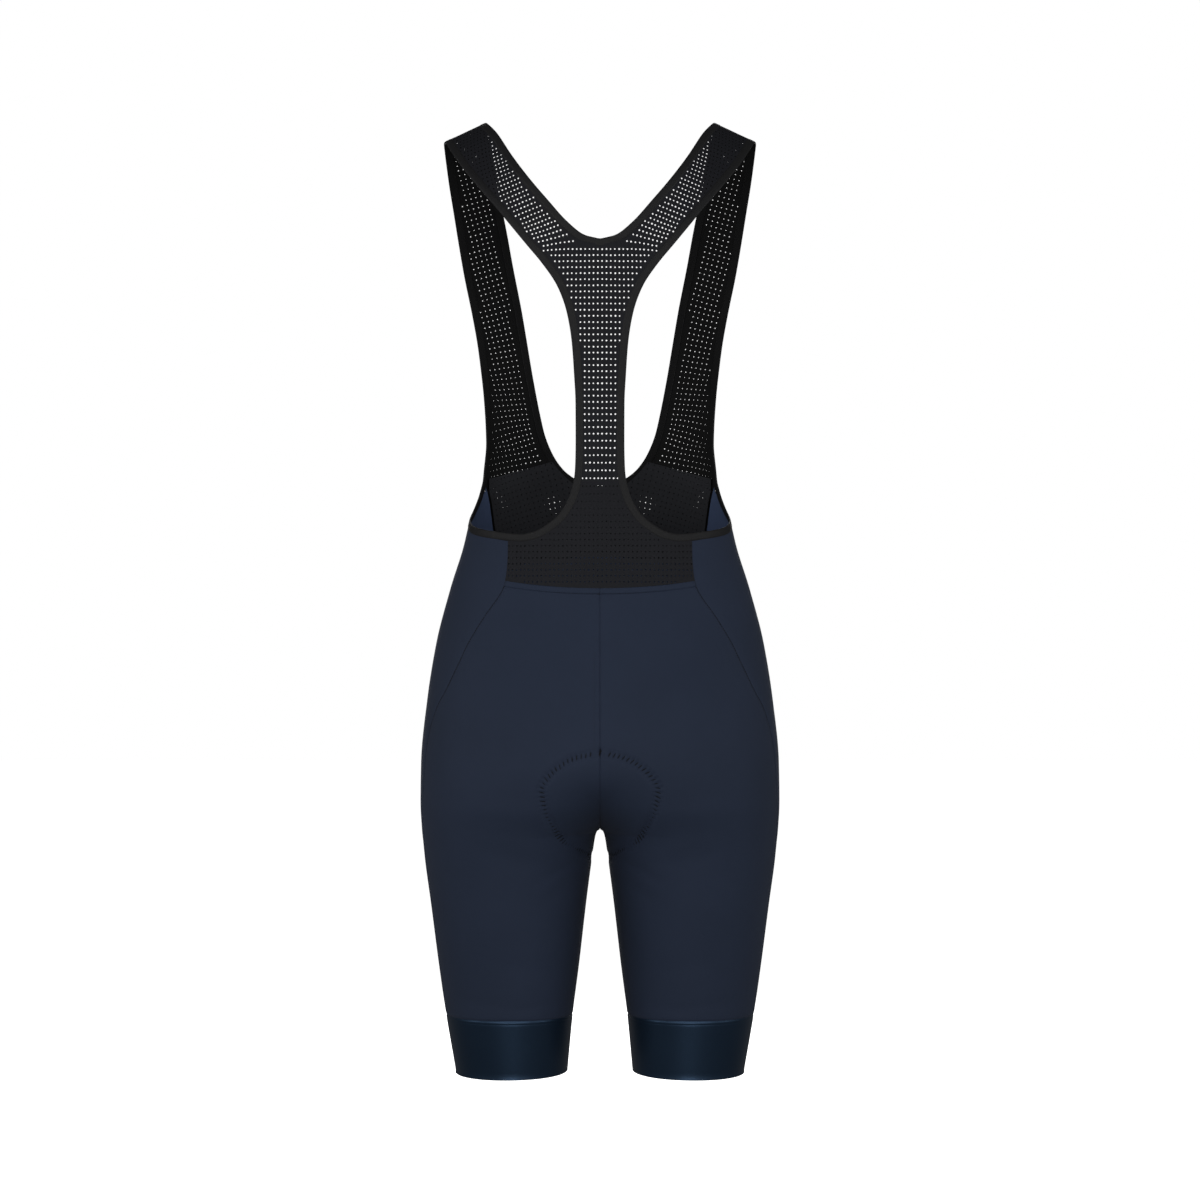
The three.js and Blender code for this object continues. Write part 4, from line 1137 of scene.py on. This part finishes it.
def back_lattice(row, share):
    rows = (BACK_NECK_ROW - 1, BACK_LAST_ROW)
    body, arm = both_lattices(back_point, body_lattice, row, share, rows, ARM_LATTICE, ARM_JOIN_ROW)
    return mix(body, arm, smooth_step((row - BACK_NECK_ROW) / ARM_JOIN_ROWS)[..., None])


def front_body_lattice(points):
    x, z = points[..., 0], points[..., 2]
    arc = shorts.arc_of_x(np.minimum(z, SECTIONS_TOP), x, -1)
    fan = smooth_step(arc / FRONT_FAN) * math.sin(FRONT_TURN)
    aside = arc * math.cos(FRONT_TURN) - (z + FRONT_LEVEL) * fan
    lift = (np.hypot(arc, FRONT_SOFT) - FRONT_SOFT) * math.sin(FRONT_TURN)
    down = -z * math.cos(FRONT_TURN) - lift
    return np.stack([aside / FRONT_COLUMN + 0.5, down / FRONT_ROW], -1)


def front_lattice(row, share):
    join_row = FRONT_JOIN_ROW + FRONT_JOIN_ROWS / 2
    rows = (0, FRONT_SEAM_ROW)
    body, strap = both_lattices(front_point, front_body_lattice, row, share, rows, STRAP_LATTICE, join_row)
    return mix(strap, body, smooth_step((row - FRONT_JOIN_ROW) / FRONT_JOIN_ROWS)[..., None])


def crossings(lattice, rows, shares):
    """The places of the lattice's crossings by row and share, found triangle by triangle in a grid."""
    row, share = np.meshgrid(rows, shares, indexing="ij")
    marks = np.concatenate([lattice(row, share), row[..., None], share[..., None]], -1)
    a, b, c, d = marks[:-1, :-1], marks[:-1, 1:], marks[1:, 1:], marks[1:, :-1]
    corners = np.concatenate([np.stack(t, 2).reshape(-1, 3, 4) for t in ((a, b, c), (a, c, d))])
    first, second, third = corners[:, 0], corners[:, 1], corners[:, 2]
    u, v = second - first, third - first
    area = u[:, 0] * v[:, 1] - u[:, 1] * v[:, 0]
    area = np.where(np.abs(area) < 1e-12, 1e-12, area)
    found = {}
    low = np.ceil(corners[:, :, :2].min(1))
    for i in (0, 1):
        for j in (0, 1):
            aim = low + (i, j)
            gap = aim - first[:, :2]
            s = (gap[:, 0] * v[:, 1] - gap[:, 1] * v[:, 0]) / area
            t = (u[:, 0] * gap[:, 1] - u[:, 1] * gap[:, 0]) / area
            hit = (s >= -1e-9) & (t >= -1e-9) & (s + t <= 1 + 1e-9)
            places = first + s[:, None] * u + t[:, None] * v
            for key, place_found in zip(map(tuple, aim[hit].astype(int)), places[hit, 2:]):
                found.setdefault(key, place_found)
    return np.array([found[key] for key in sorted(found)])


def hole_rings(point, places, radii):
    """The rims of round holes by row and share, worked out from how the cloth lies there."""
    step = 1e-3
    row, share = places[:, 0], places[:, 1]
    down = (point(row + step, share) - point(row - step, share)) / (2 * step)
    over = (point(row, share + step) - point(row, share - step)) / (2 * step)
    first = unit(down)
    second = np.cross(unit(np.cross(down, over)), first)
    turns = np.arange(HOLE_SIDES) * 2 * math.pi / HOLE_SIDES
    spokes = np.cos(turns)[None, :, None] * first[:, None] + np.sin(turns)[None, :, None] * second[:, None]
    spokes = spokes * radii[:, None, None]
    by_down = (spokes * down[:, None]).sum(-1)
    by_over = (spokes * over[:, None]).sum(-1)
    dd, do, oo = ((a * b).sum(-1)[:, None] for a, b in ((down, down), (down, over), (over, over)))
    size = dd * oo - do * do
    return np.stack([
        row[:, None] + (oo * by_down - do * by_over) / size,
        share[:, None] + (dd * by_over - do * by_down) / size,
    ], -1)


def border_line(point, corners):
    """A border by row and share through its runs of points, again at even steps, with its margins."""
    runs = []
    for row, share, margin in corners:
        run = np.stack(as_arrays(row, share), -1)
        along = run_lengths(point(*run.T))
        count = max(int(along[-1] / BORDER_STEP), 1)
        even = np.linspace(0, along[-1], count + 1)[:-1]
        runs.append((at_lengths(run, along, even), np.full(count, margin)))
    return end_to_end(runs)


def net(name, point, lattice, border, grid, radius, inside, out=0.0, depth=NET_WALL, seed=1, face=1):
    """A net sheet with its holes cut through, on both halves. border goes round the left half, with
    how far the holes' centres stay from it."""
    border, margins = border
    draw = np.random.default_rng(seed)
    spots = crossings(lattice, *grid)
    scale = np.array([FRONT_COLUMN, FRONT_ROW])
    edge = lattice(*border.T) * scale
    flat = lattice(*spots.T) * scale
    closed = np.concatenate([edge, edge[:1]])
    fine = np.concatenate([mix(closed[:-1], closed[1:], s) for s in (0, 0.25, 0.5, 0.75)])
    clear = np.array([(np.hypot(*(fine - spot).T) - np.tile(margins, 4)).min() for spot in flat])
    spots = spots[inside_of(flat, edge) & (clear > 0)]
    radii = radius * (1 + HOLE_VARIETY * draw.standard_normal(len(spots)))
    rings = hole_rings(point, spots, radii)
    nudge = hole_rings(point, spots, HOLE_SCATTER * np.ones(len(spots)))
    pick = draw.integers(0, HOLE_SIDES, len(spots))
    rings = rings + (nudge[np.arange(len(spots)), pick] - spots)[:, None]
    places = np.concatenate([border, rings.reshape(-1, 2)])
    plane = lattice(*places.T) * scale
    count = len(border)
    loops = [range(count), *(range(s, s + HOLE_SIDES) for s in range(count, len(places), HOLE_SIDES))]
    edges = [(loop[i - 1], loop[i]) for loop in loops for i in range(len(loop))]
    found = delaunay_2d_cdt([tuple(p) for p in plane.tolist()], edges, [], 1, SAME_PLACE, True)
    source = np.array([owners[0] if owners else -1 for owners in found[3]])
    faces = source[np.array([corners for corners in found[2] if len(corners) == 3])]
    owner = np.where(faces < count, -1 - faces, (faces - count) // HOLE_SIDES)
    same = (owner == owner[:, :1]).all(1) & (owner[:, 0] >= 0)
    points = point(*places.T)
    normals = face * net_normal(point, *places.T)
    middle = points[:, 0] < MIDDLE_X
    beyond = (faces < count).all(1) & ~inside_of(plane[faces].mean(1), edge)
    faces = faces[~same & ~beyond & ~middle[faces].all(1) & (faces >= 0).all(1)]
    points[middle, 0] = 0
    normals[middle, 0] = 0
    number = np.arange(len(points)) + len(points)
    number[middle] = np.flatnonzero(middle)
    every = np.concatenate([faces, number[faces][:, ::-1]])
    used, renumbered = np.unique(every, return_inverse=True)
    both = [np.concatenate([part, mirror(part)])[used] for part in (points, unit(normals))]
    # inside colours the inner face and rims; the black nets pass a near-black painted shade there.
    return wall(name, *both, renumbered.reshape(-1, 3), [NET, inside], out, depth)


def inside_of(points, loop):
    """Whether each flat point lies inside a closed loop."""
    after = np.roll(loop, -1, 0)
    x, y = points[:, :1], points[:, 1:]
    rises = (loop[None, :, 1] > y) != (after[None, :, 1] > y)
    run = np.where(after[:, 1] == loop[:, 1], 1e-12, after[:, 1] - loop[:, 1])
    crossing = loop[None, :, 0] + (y - loop[None, :, 1]) / run * (after[:, 0] - loop[:, 0])[None]
    return (rises & (crossing > x)).sum(1) % 2 == 1


HALF_ROW = 0.6


def covered(point, rows, edge, start):
    """The share along each row where a tape's cover ends, coming from share 0 or 1."""
    reach = HALF_ROW if start == 0 else -HALF_ROW
    return start + reach * inset(lambda t: point(rows[:, None], start + reach * t[None]), edge)


def uncovered_row(point, rows, share, edge):
    """The first of some rows that a tape leaves free."""
    return float(rows[(edge_gaps(point(rows, share), edge) >= TAPE_COVER).argmax()])


def back_net():
    first = np.linspace(BACK_NECK_ROW, BACK_NECK_ROW - 1, 200)
    centre = uncovered_row(back_point, first, 1, NECK_EDGE)
    outer = np.linspace(0, BACK_LAST_ROW, 180)
    low = np.linspace(BACK_NECK_ROW, centre, 12)
    inner = np.concatenate([np.linspace(BACK_LAST_ROW, BACK_NECK_ROW, 90), low])
    outer_share = covered(back_point, outer, ARMHOLE_EDGE, 0)
    inner_share = covered(back_point, inner, NECK_EDGE, 1)
    inner_share[-1] = 1
    border = border_line(back_point, [
        (outer, outer_share, BACK_MARGIN),
        (BACK_LAST_ROW, [outer_share[-1], inner_share[0]], SEAM_MARGIN),
        (inner, inner_share, BACK_MARGIN),
        (np.linspace(centre, BACK_WAIST_ROW, 60), 1, SEAM_MARGIN),
        (np.linspace(BACK_WAIST_ROW, 0, 40), 1, SEAM_MARGIN),
        (0, np.linspace(1, outer_share[0], 40), SEAM_MARGIN),
    ])
    grid = np.linspace(0, BACK_LAST_ROW, 360), np.linspace(0, 1, 40)
    return net("back_net", back_point, back_lattice, border, grid, BACK_HOLE, NET_INSIDE_PAINTED_SHADE)


def front_net():
    fall = np.linspace(FRONT_SEAM_ROW, FRONT_WAIST_ROW, 200)
    corner = uncovered_row(front_point, fall, 0, ARMHOLE_EDGE)
    outer = np.concatenate([np.linspace(0, FRONT_SEAM_ROW, 120), np.linspace(FRONT_SEAM_ROW, corner, 8)[1:]])
    outer_share = covered(front_point, outer, ARMHOLE_EDGE, 0)
    outer_share[-1] = 0
    inner = np.linspace(FRONT_LAST_ROW, 0, 170)
    inner_share = covered(front_point, inner, NECK_EDGE, 1)
    border = border_line(front_point, [
        (outer, outer_share, FRONT_ARM_MARGIN),
        (np.linspace(corner, FRONT_LAST_ROW, 120), 0, FRONT_SIDE_MARGIN),
        (FRONT_LAST_ROW, np.linspace(0, inner_share[0], 30), SEAM_MARGIN),
        (inner, inner_share, FRONT_NECK_MARGIN),
        (0, [inner_share[-1], outer_share[0]], SEAM_MARGIN),
    ])
    grid = np.linspace(0, FRONT_LAST_ROW, 330), np.linspace(0, 1, 50)
    return net("front_net", front_point, front_lattice, border, grid, FRONT_HOLE, NET_INSIDE_PAINTED_SHADE, seed=2)


LINING_TURN = math.radians(5)


def lining_point(row, share):
    """The inner net's place on the outer face, by share of its height and of its width."""
    row, share = as_arrays(row, share)
    low_x = share * shorts.point(FRONT_WAIST["side"], front_seam(np.array(float(FRONT_WAIST["side"]))))[0]
    top_x = share * LINING_LEFT_TOP[0]
    across = (top_x - LINING_NECK_TOP[0]) / (LINING_LEFT_TOP[0] - LINING_NECK_TOP[0])
    slant = mix(LINING_NECK_TOP[1], LINING_LEFT_TOP[1], across)
    dip_z = FRONT_ROWS[-1][1][2] - TAPE_WIDTH
    curve = mix(dip_z, LINING_NECK_TOP[1], (top_x / LINING_NECK_TOP[0]) ** 2)
    top = np.where(across >= 0, slant, curve)
    z = mix(top, waist_z(FRONT_WAIST, low_x), row)
    side_x = shorts.point(z, front_seam(z))[..., 0] - LINING_SIDE_MARGIN
    x = share * mix(side_x, np.minimum(side_x, LINING_LEFT_TOP[0]), share)
    return np.stack([x, on_sections(x, z, -1), z], -1)


def lining_lattice(row, share):
    column, pitch = np.moveaxis(front_body_lattice(lining_point(row, share)), -1, 0)
    return turned(column * FRONT_COLUMN, pitch * FRONT_ROW, FRONT_COLUMN, FRONT_ROW, LINING_TURN)


def lining_net():
    ends = np.linspace(0, 1, 60)
    sides = ((0, ends), (ends, 1), (1, ends[::-1]), (ends[::-1], 0))
    border = border_line(lining_point, [(*side, SEAM_MARGIN) for side in sides])
    grid = np.linspace(0, 1, 90), np.linspace(0, 1, 110)
    return net(
        "lining_net", lining_point, lining_lattice, border, grid, LINING_HOLE, LINING,
        out=-LINING_TOP, depth=LINING_TOP + LINING_WALL, seed=3, face=-1,
    )


# The seat pad, foam quilted towards the wearer, just inside the shorts

PAD_CLEARANCE = 2.6
PAD_CROTCH_CLEARANCE = 6
PAD_CROTCH_HEIGHT = 28
PAD_CROTCH_START = 1.5
PAD_CROTCH_EASE = 0.3
PAD_EDGE = 1.5
PAD_MIDDLE = 6
PAD_COLUMNS = 26
PAD_LENGTHWISE = 150
PAD_CHANNELS = [(0.3, 0.9), (0.62, 0.8)]
PAD_CHANNEL_WIDTH = 0.035
PAD_CROSSINGS = 9
PAD_DIP = 0.5


def pad_row(row, shares):
    """One row of the pad on the outer face, with the outward directions."""
    side, middle_z, edge_z, kind, value = row
    z = mix(middle_z, edge_z, shares)
    if kind == "y":
        top = np.array(float(middle_z))
        start = 0.0 if side > 0 else float(shorts.total(top))
        wanted = mix(float(shorts.point(top, start)[1]), value, shares)
        arc = np.array([start, *(arc_of_depth(h, y, side) for h, y in zip(z[1:], wanted[1:]))])
    else:
        arc = round_arc(z, value * shares, side)
    points = shorts.point(z, arc)
    normals = shorts.normal(z, arc)
    points[0, 0] = 0
    if side == 0:
        normals[0] = (0, 0, -1)
    normals[0, 0] = 0
    return points, unit(normals)


def seat_pad():
    shares = np.linspace(0, 1, PAD_COLUMNS)
    rows = [pad_row(row, shares) for row in PAD_ROWS]
    fine = np.linspace(0, len(rows) - 1, PAD_LENGTHWISE)
    points, normals = (
        np.stack([smooth_line(column)(fine) for column in np.moveaxis(part, 1, 0)], 1)
        for part in map(np.array, zip(*rows))
    )
    middle_z = curve_by_number([row[1] for row in PAD_ROWS])(fine)[:, None]
    low = smooth_step(PAD_CROTCH_START - (middle_z - CROTCH_Z) / PAD_CROTCH_HEIGHT)
    clear = mix(PAD_CLEARANCE, PAD_CROTCH_CLEARANCE, low * (1 - PAD_CROTCH_EASE * shares[None]))
    ends = np.minimum(np.minimum(fine, fine[-1] - fine), 2)[:, None] / 2
    thick = mix(PAD_EDGE, PAD_MIDDLE, (1 - shares[None] ** 2) * ends)
    for share, depth in PAD_CHANNELS:
        thick = thick - depth * ends * np.exp(-((shares[None] - share) / PAD_CHANNEL_WIDTH) ** 2)
    wave = np.cos(2 * math.pi * (PAD_CROSSINGS * fine[:, None] / fine[-1] + 0.5 * shares[None]))
    thick = thick - PAD_DIP * ends * (1 - shares[None]) * np.clip(wave, 0, 1) ** 6
    halves = [(mirror(part[:, :0:-1]), part) for part in (points, unit(normals))]
    flat, facing = (np.concatenate(half, 1).reshape(-1, 3) for half in halves)
    clear, thick = (np.concatenate([part[:, :0:-1], part], 1).reshape(-1, 1) for part in (clear, thick))
    faces = grid_faces(len(fine), 2 * PAD_COLUMNS - 1)
    return wall("seat_pad_foam", flat, facing, faces, [PAD, PAD], -clear, thick + clear)


# Stitches: short beads of thread, half sunk in the cloth

STITCH_SIDES = 6
STITCH_ENDS = np.array([-1.0, -0.72, 0.0, 0.72, 1.0])
STITCH_SWELL = np.array([0.15, 0.75, 1.0, 0.75, 0.15])
STITCH_SINK = 0.6


def open_places(points, normals, pitch):
    """Even places along an open line, with the outward direction and the way along it."""
    lengths = run_lengths(points)
    at = np.arange(pitch / 2, lengths[-1], pitch)
    even = at_lengths(points, lengths, at)
    return even, unit(at_lengths(normals, lengths, at)), unit(np.gradient(even, axis=0))


def stitches(name, places, facing, ahead, length, radius, material, turn=0.0):
    """One piece of many stitches. turn leans each of them, in radians, from the line's direction."""
    across = unit(np.cross(facing, ahead))
    ahead = unit(np.cross(across, facing))
    lie = ahead * math.cos(turn) + across * math.sin(turn)
    beside = np.cross(facing, lie)
    turns = np.arange(STITCH_SIDES) * 2 * math.pi / STITCH_SIDES
    run = STITCH_ENDS[:, None] * length / 2 + 0 * turns[None]
    wide = STITCH_SWELL[:, None] * radius * np.cos(turns)[None]
    sunk = radius * STITCH_SINK * STITCH_ENDS[:, None] ** 2
    high = STITCH_SWELL[:, None] * radius * np.sin(turns)[None] - sunk
    points = places[:, None, None] + (
        run[None, ..., None] * lie[:, None, None]
        + wide[None, ..., None] * beside[:, None, None]
        + high[None, ..., None] * facing[:, None, None]
    )
    rings = len(STITCH_ENDS)
    one = grid_faces(rings, STITCH_SIDES, closed=True)
    size = rings * STITCH_SIDES
    shift = np.arange(len(places))[:, None, None] * size
    quads = (one[None] + shift).reshape(-1, 4)
    cap = np.arange(STITCH_SIDES)
    caps = np.stack([cap[::-1], cap + size - STITCH_SIDES])
    ends = (caps[None] + shift).reshape(-1, STITCH_SIDES)
    return build_mesh(name, points.reshape(-1, 3), [*quads.tolist(), *ends.tolist()], material)


def mirrored_line(line):
    return [np.concatenate([part, mirror(part)]) for part in line]


TAPE_STITCH_IN = 5.6
TAPE_STITCH_PITCH = 2.7
TAPE_STITCH = 1.9
TAPE_STITCH_SINK = 0.05
THREAD_RADIUS = 0.2
SEAM_STITCH_PITCH = 2.4
SEAM_STITCH = 1.7
TOPSTITCH_X = 5.2
TOPSTITCH_TOP = -497
TOPSTITCH_FOOT = -588
SEAM_THREAD = 0.42
WAIST_THREAD = 0.36
SEAM_THREAD_DEPTH = 0.6
SEAM_THREAD_START = 8
KNOT_X = 1.6
KNOT = 4.2
KNOT_RADIUS = 0.55
RING_STITCH = 8.4
RING_STITCH_TURN = math.radians(68)
RING_THREAD = 0.52
RING_PUCKER_SHARE = 0.8


def tape_stitches(name, edge, side):
    points, into, out = tape_frames(edge, TAPE_STITCH_PITCH)
    places = points + into * TAPE_STITCH_IN + out * (TAPE_PROUD - TAPE_STITCH_SINK)
    ahead = unit(np.roll(places, -1, 0) - np.roll(places, 1, 0))
    line = [sided(part, side) for part in (places, out, ahead)]
    return stitches(name, *line, TAPE_STITCH, THREAD_RADIUS, TAPE_THREAD)


def on_face(x, z, sign, rise=0.0):
    """Points of the outer face by x and height, with the outward directions."""
    arc = round_arc(z, shorts.arc_of_x(z, x, sign), sign)
    normals = shorts.normal(z, arc)
    return shorts.point(z, arc) + normals * rise, normals


def waist_stitches():
    """The coverstitch below the waist seams, behind and in front."""
    lines = []
    for waist, sign in ((BACK_WAIST, 1), (FRONT_WAIST, -1)):
        x = np.linspace(1, waist["x"] - 2, 80)
        face = on_face(x, waist_z(waist, x) - BAND_FOOT, sign, -GROOVE)
        lines.append(mirrored_line(open_places(*face, SEAM_STITCH_PITCH)))
    return stitches("waist_stitching", *end_to_end(lines), SEAM_STITCH_PITCH, WAIST_THREAD, DARK_THREAD_AND_PAINTED_SHADE)


def waist_knot():
    """The bar tack where the back seam meets the coverstitch."""
    z = np.array([BACK_WAIST["middle"] - BAND_FOOT])
    spot, facing = on_face(np.array([KNOT_X]), z, 1, -GROOVE)
    ahead = np.array([[1.0, 0.0, 0.0]])
    return stitches("waist_bar_tack", spot, facing, ahead, KNOT, KNOT_RADIUS, DARK_THREAD_AND_PAINTED_SHADE)


def side_seam_stitches():
    """The thread at the bottom of the side panels' seams, behind and in front, made near black as painted
    shade of the seam groove.
    """
    lines = []
    for seam_arc, share in ((back_seam, 0.0), (front_seam, 1.0)):
        z = np.linspace(float(armhole_z(np.array(share))) - SEAM_THREAD_START, CUFF_SEAM_Z, 240)
        normals = shorts.normal(z, seam_arc(z))
        places = shorts.point(z, seam_arc(z)) - normals * SEAM_THREAD_DEPTH
        lines.append(mirrored_line(open_places(places, normals, SEAM_STITCH_PITCH)))
    return stitches("side_seam_stitching", *end_to_end(lines), SEAM_STITCH_PITCH, SEAM_THREAD, DARK_THREAD_AND_PAINTED_SHADE)


def seat_stitches():
    """The topstitching on the left of the back seam, which runs down to the pad."""
    z = np.linspace(TOPSTITCH_TOP, TOPSTITCH_FOOT, 60)
    line = open_places(*on_face(np.full(60, TOPSTITCH_X), z, 1), SEAM_STITCH_PITCH)
    return stitches("seat_stitching", *line, SEAM_STITCH, THREAD_RADIUS, THREAD)


def pad_stitches():
    """The zigzag that holds the pad, one leaning stitch in each pucker, made near black as painted shade of
    the puckers.
    """
    outline = pad_outline()
    lengths = run_lengths(outline)
    marks = at_lengths(outline, lengths, np.arange(0, lengths[-1], PUCKER_PITCH))
    facing = pad_facing(marks)
    sunk = marks - facing * (RING_DEPTH + PUCKER_DEPTH * RING_PUCKER_SHARE)
    line = mirrored_line([sunk, facing, unit(np.gradient(marks, axis=0))])
    return stitches("pad_stitching", *line, RING_STITCH, RING_THREAD, DARK_THREAD_AND_PAINTED_SHADE, RING_STITCH_TURN)


def pad_facing(marks):
    """The outward direction of the shorts' face nearest to each mark."""
    faces = []
    for sign in (1, -1):
        z, arc, _ = panel_grid(sign)
        arc = round_arc(z, arc, sign)
        faces.append([part.reshape(-1, 3) for part in (shorts.point(z, arc), shorts.normal(z, arc))])
    points, normals = end_to_end(faces)
    return normals[[np.linalg.norm(points - mark, axis=1).argmin() for mark in marks]]


# The scene's light, floor and camera

def area_light(name, place_mm, aim_mm, size_mm, power):
    data = bpy.data.lights.new(name, "AREA")
    data.shape = "RECTANGLE"
    data.size, data.size_y = (value * METRE for value in size_mm)
    data.energy = power
    made = bpy.data.objects.new(name, data)
    made.location = Vector(place_mm) * METRE
    made.rotation_euler = (Vector(aim_mm) - Vector(place_mm)).to_track_quat("-Z", "Y").to_euler()
    made.visible_camera = False
    bpy.context.scene.collection.objects.link(made)


# Name, place, aim, size and power
LIGHTS = [
    ("key", (1000, 2600, 200), (0, 0, -480), (1800, 1800), 18),
    ("fill", (-1100, 2500, -150), (0, 0, -560), (1800, 1800), 15),
    ("left", (2500, 900, 300), (0, 0, -450), (1500, 1500), 17),
    ("right", (-2500, 900, 300), (0, 0, -450), (1500, 1500), 14),
    ("low", (0, 2100, -1060), (0, 0, -880), (900, 160), 5),
    ("front", (0, -2600, 200), (0, 0, -450), (2000, 2000), 34),
]
SOFT_LIGHT = 0.09
FLOOR_Z = -1150
FLOOR_HALF = 12000


def set_stage():
    scene = bpy.context.scene
    data = bpy.data.cameras.new("camera")
    data.sensor_width = SENSOR
    data.lens = SENSOR * CAMERA_DISTANCE / FRAME_WIDTH
    camera = bpy.data.objects.new("camera", data)
    camera.location = (0, CAMERA_DISTANCE * METRE, CAMERA_HEIGHT * METRE)
    camera.rotation_euler = (math.radians(90), 0, math.radians(180))
    scene.collection.objects.link(camera)
    scene.camera = camera
    scene.view_settings.view_transform = "Standard"

    world = bpy.data.worlds.new("studio")
    scene.world = world
    world.use_nodes = True
    tree = world.node_tree
    seen = tree.nodes["Background"]
    set_inputs(seen, {"Color": (1, 1, 1, 1), "Strength": 1.0})
    soft = add_node(tree, "Background", {"Color": (1, 1, 1, 1), "Strength": SOFT_LIGHT})
    path = add_node(tree, "LightPath", {})
    either = add_node(tree, "MixShader", {})
    tree.links.new(path.outputs["Is Camera Ray"], either.inputs["Fac"])
    tree.links.new(soft.outputs["Background"], either.inputs[1])
    tree.links.new(seen.outputs["Background"], either.inputs[2])
    tree.links.new(either.outputs["Shader"], tree.nodes["World Output"].inputs["Surface"])
    for light in LIGHTS:
        area_light(*light)

    material, _, shader = node_material("pale_floor")
    set_inputs(shader, {"Base Color": (0.9, 0.9, 0.9, 1), "Roughness": 0.9})
    set_inputs(shader, {"Emission Color": (1, 1, 1, 1), "Emission Strength": 0.95})
    corners = [(x * FLOOR_HALF, y * FLOOR_HALF, FLOOR_Z) for x, y in ((-1, -1), (1, -1), (1, 1), (-1, 1))]
    floor = build_mesh("floor", corners, [(0, 1, 2, 3)], material)
    floor.visible_diffuse = False
    floor.visible_glossy = False


set_stage()
for made in both_sides("back", lambda name, side: panel(name + "_panel", side, 1)):
    place(made, "navy_knit", made.name.replace("_panel", ""))
for made in both_sides("front", lambda name, side: panel(name + "_panel", side, -1)):
    place(made, "navy_knit", made.name.replace("_panel", ""))
for made in both_sides("side", lambda name, side: side_panel(name + "_panel", side)):
    place(made, "navy_knit", made.name.replace("_panel", ""))
for made in both_sides("cuff", lambda name, side: cuff(name + "_gripper", side)):
    place(made, "gripper_satin", made.name.replace("_gripper", ""))
for made in both_sides("armhole_binding", lambda name, side: tape(name + "_tape", ARMHOLE_EDGE, side)):
    place(made, "edge_tape", made.name.replace("_tape", ""))
for made in both_sides("armhole", lambda name, side: tape_stitches(name + "_stitching", ARMHOLE_EDGE, side)):
    place(made, "edge_tape")
made = place(tape("neck_tape", NECK_EDGE, 1), "edge_tape", "neck_binding")
place(tape_stitches("neck_stitching", NECK_EDGE, 1), "edge_tape")
made = place(seat_pad(), "seat_pad", "seat_pad")
for made in (waist_stitches(), waist_knot(), side_seam_stitches(), seat_stitches(), pad_stitches()):
    place(made, "navy_knit")
made = place(back_net(), "black_net", "back_bib")
made = place(front_net(), "black_net", "front_bib")
made = place(lining_net(), "inner_net", "front_lining")
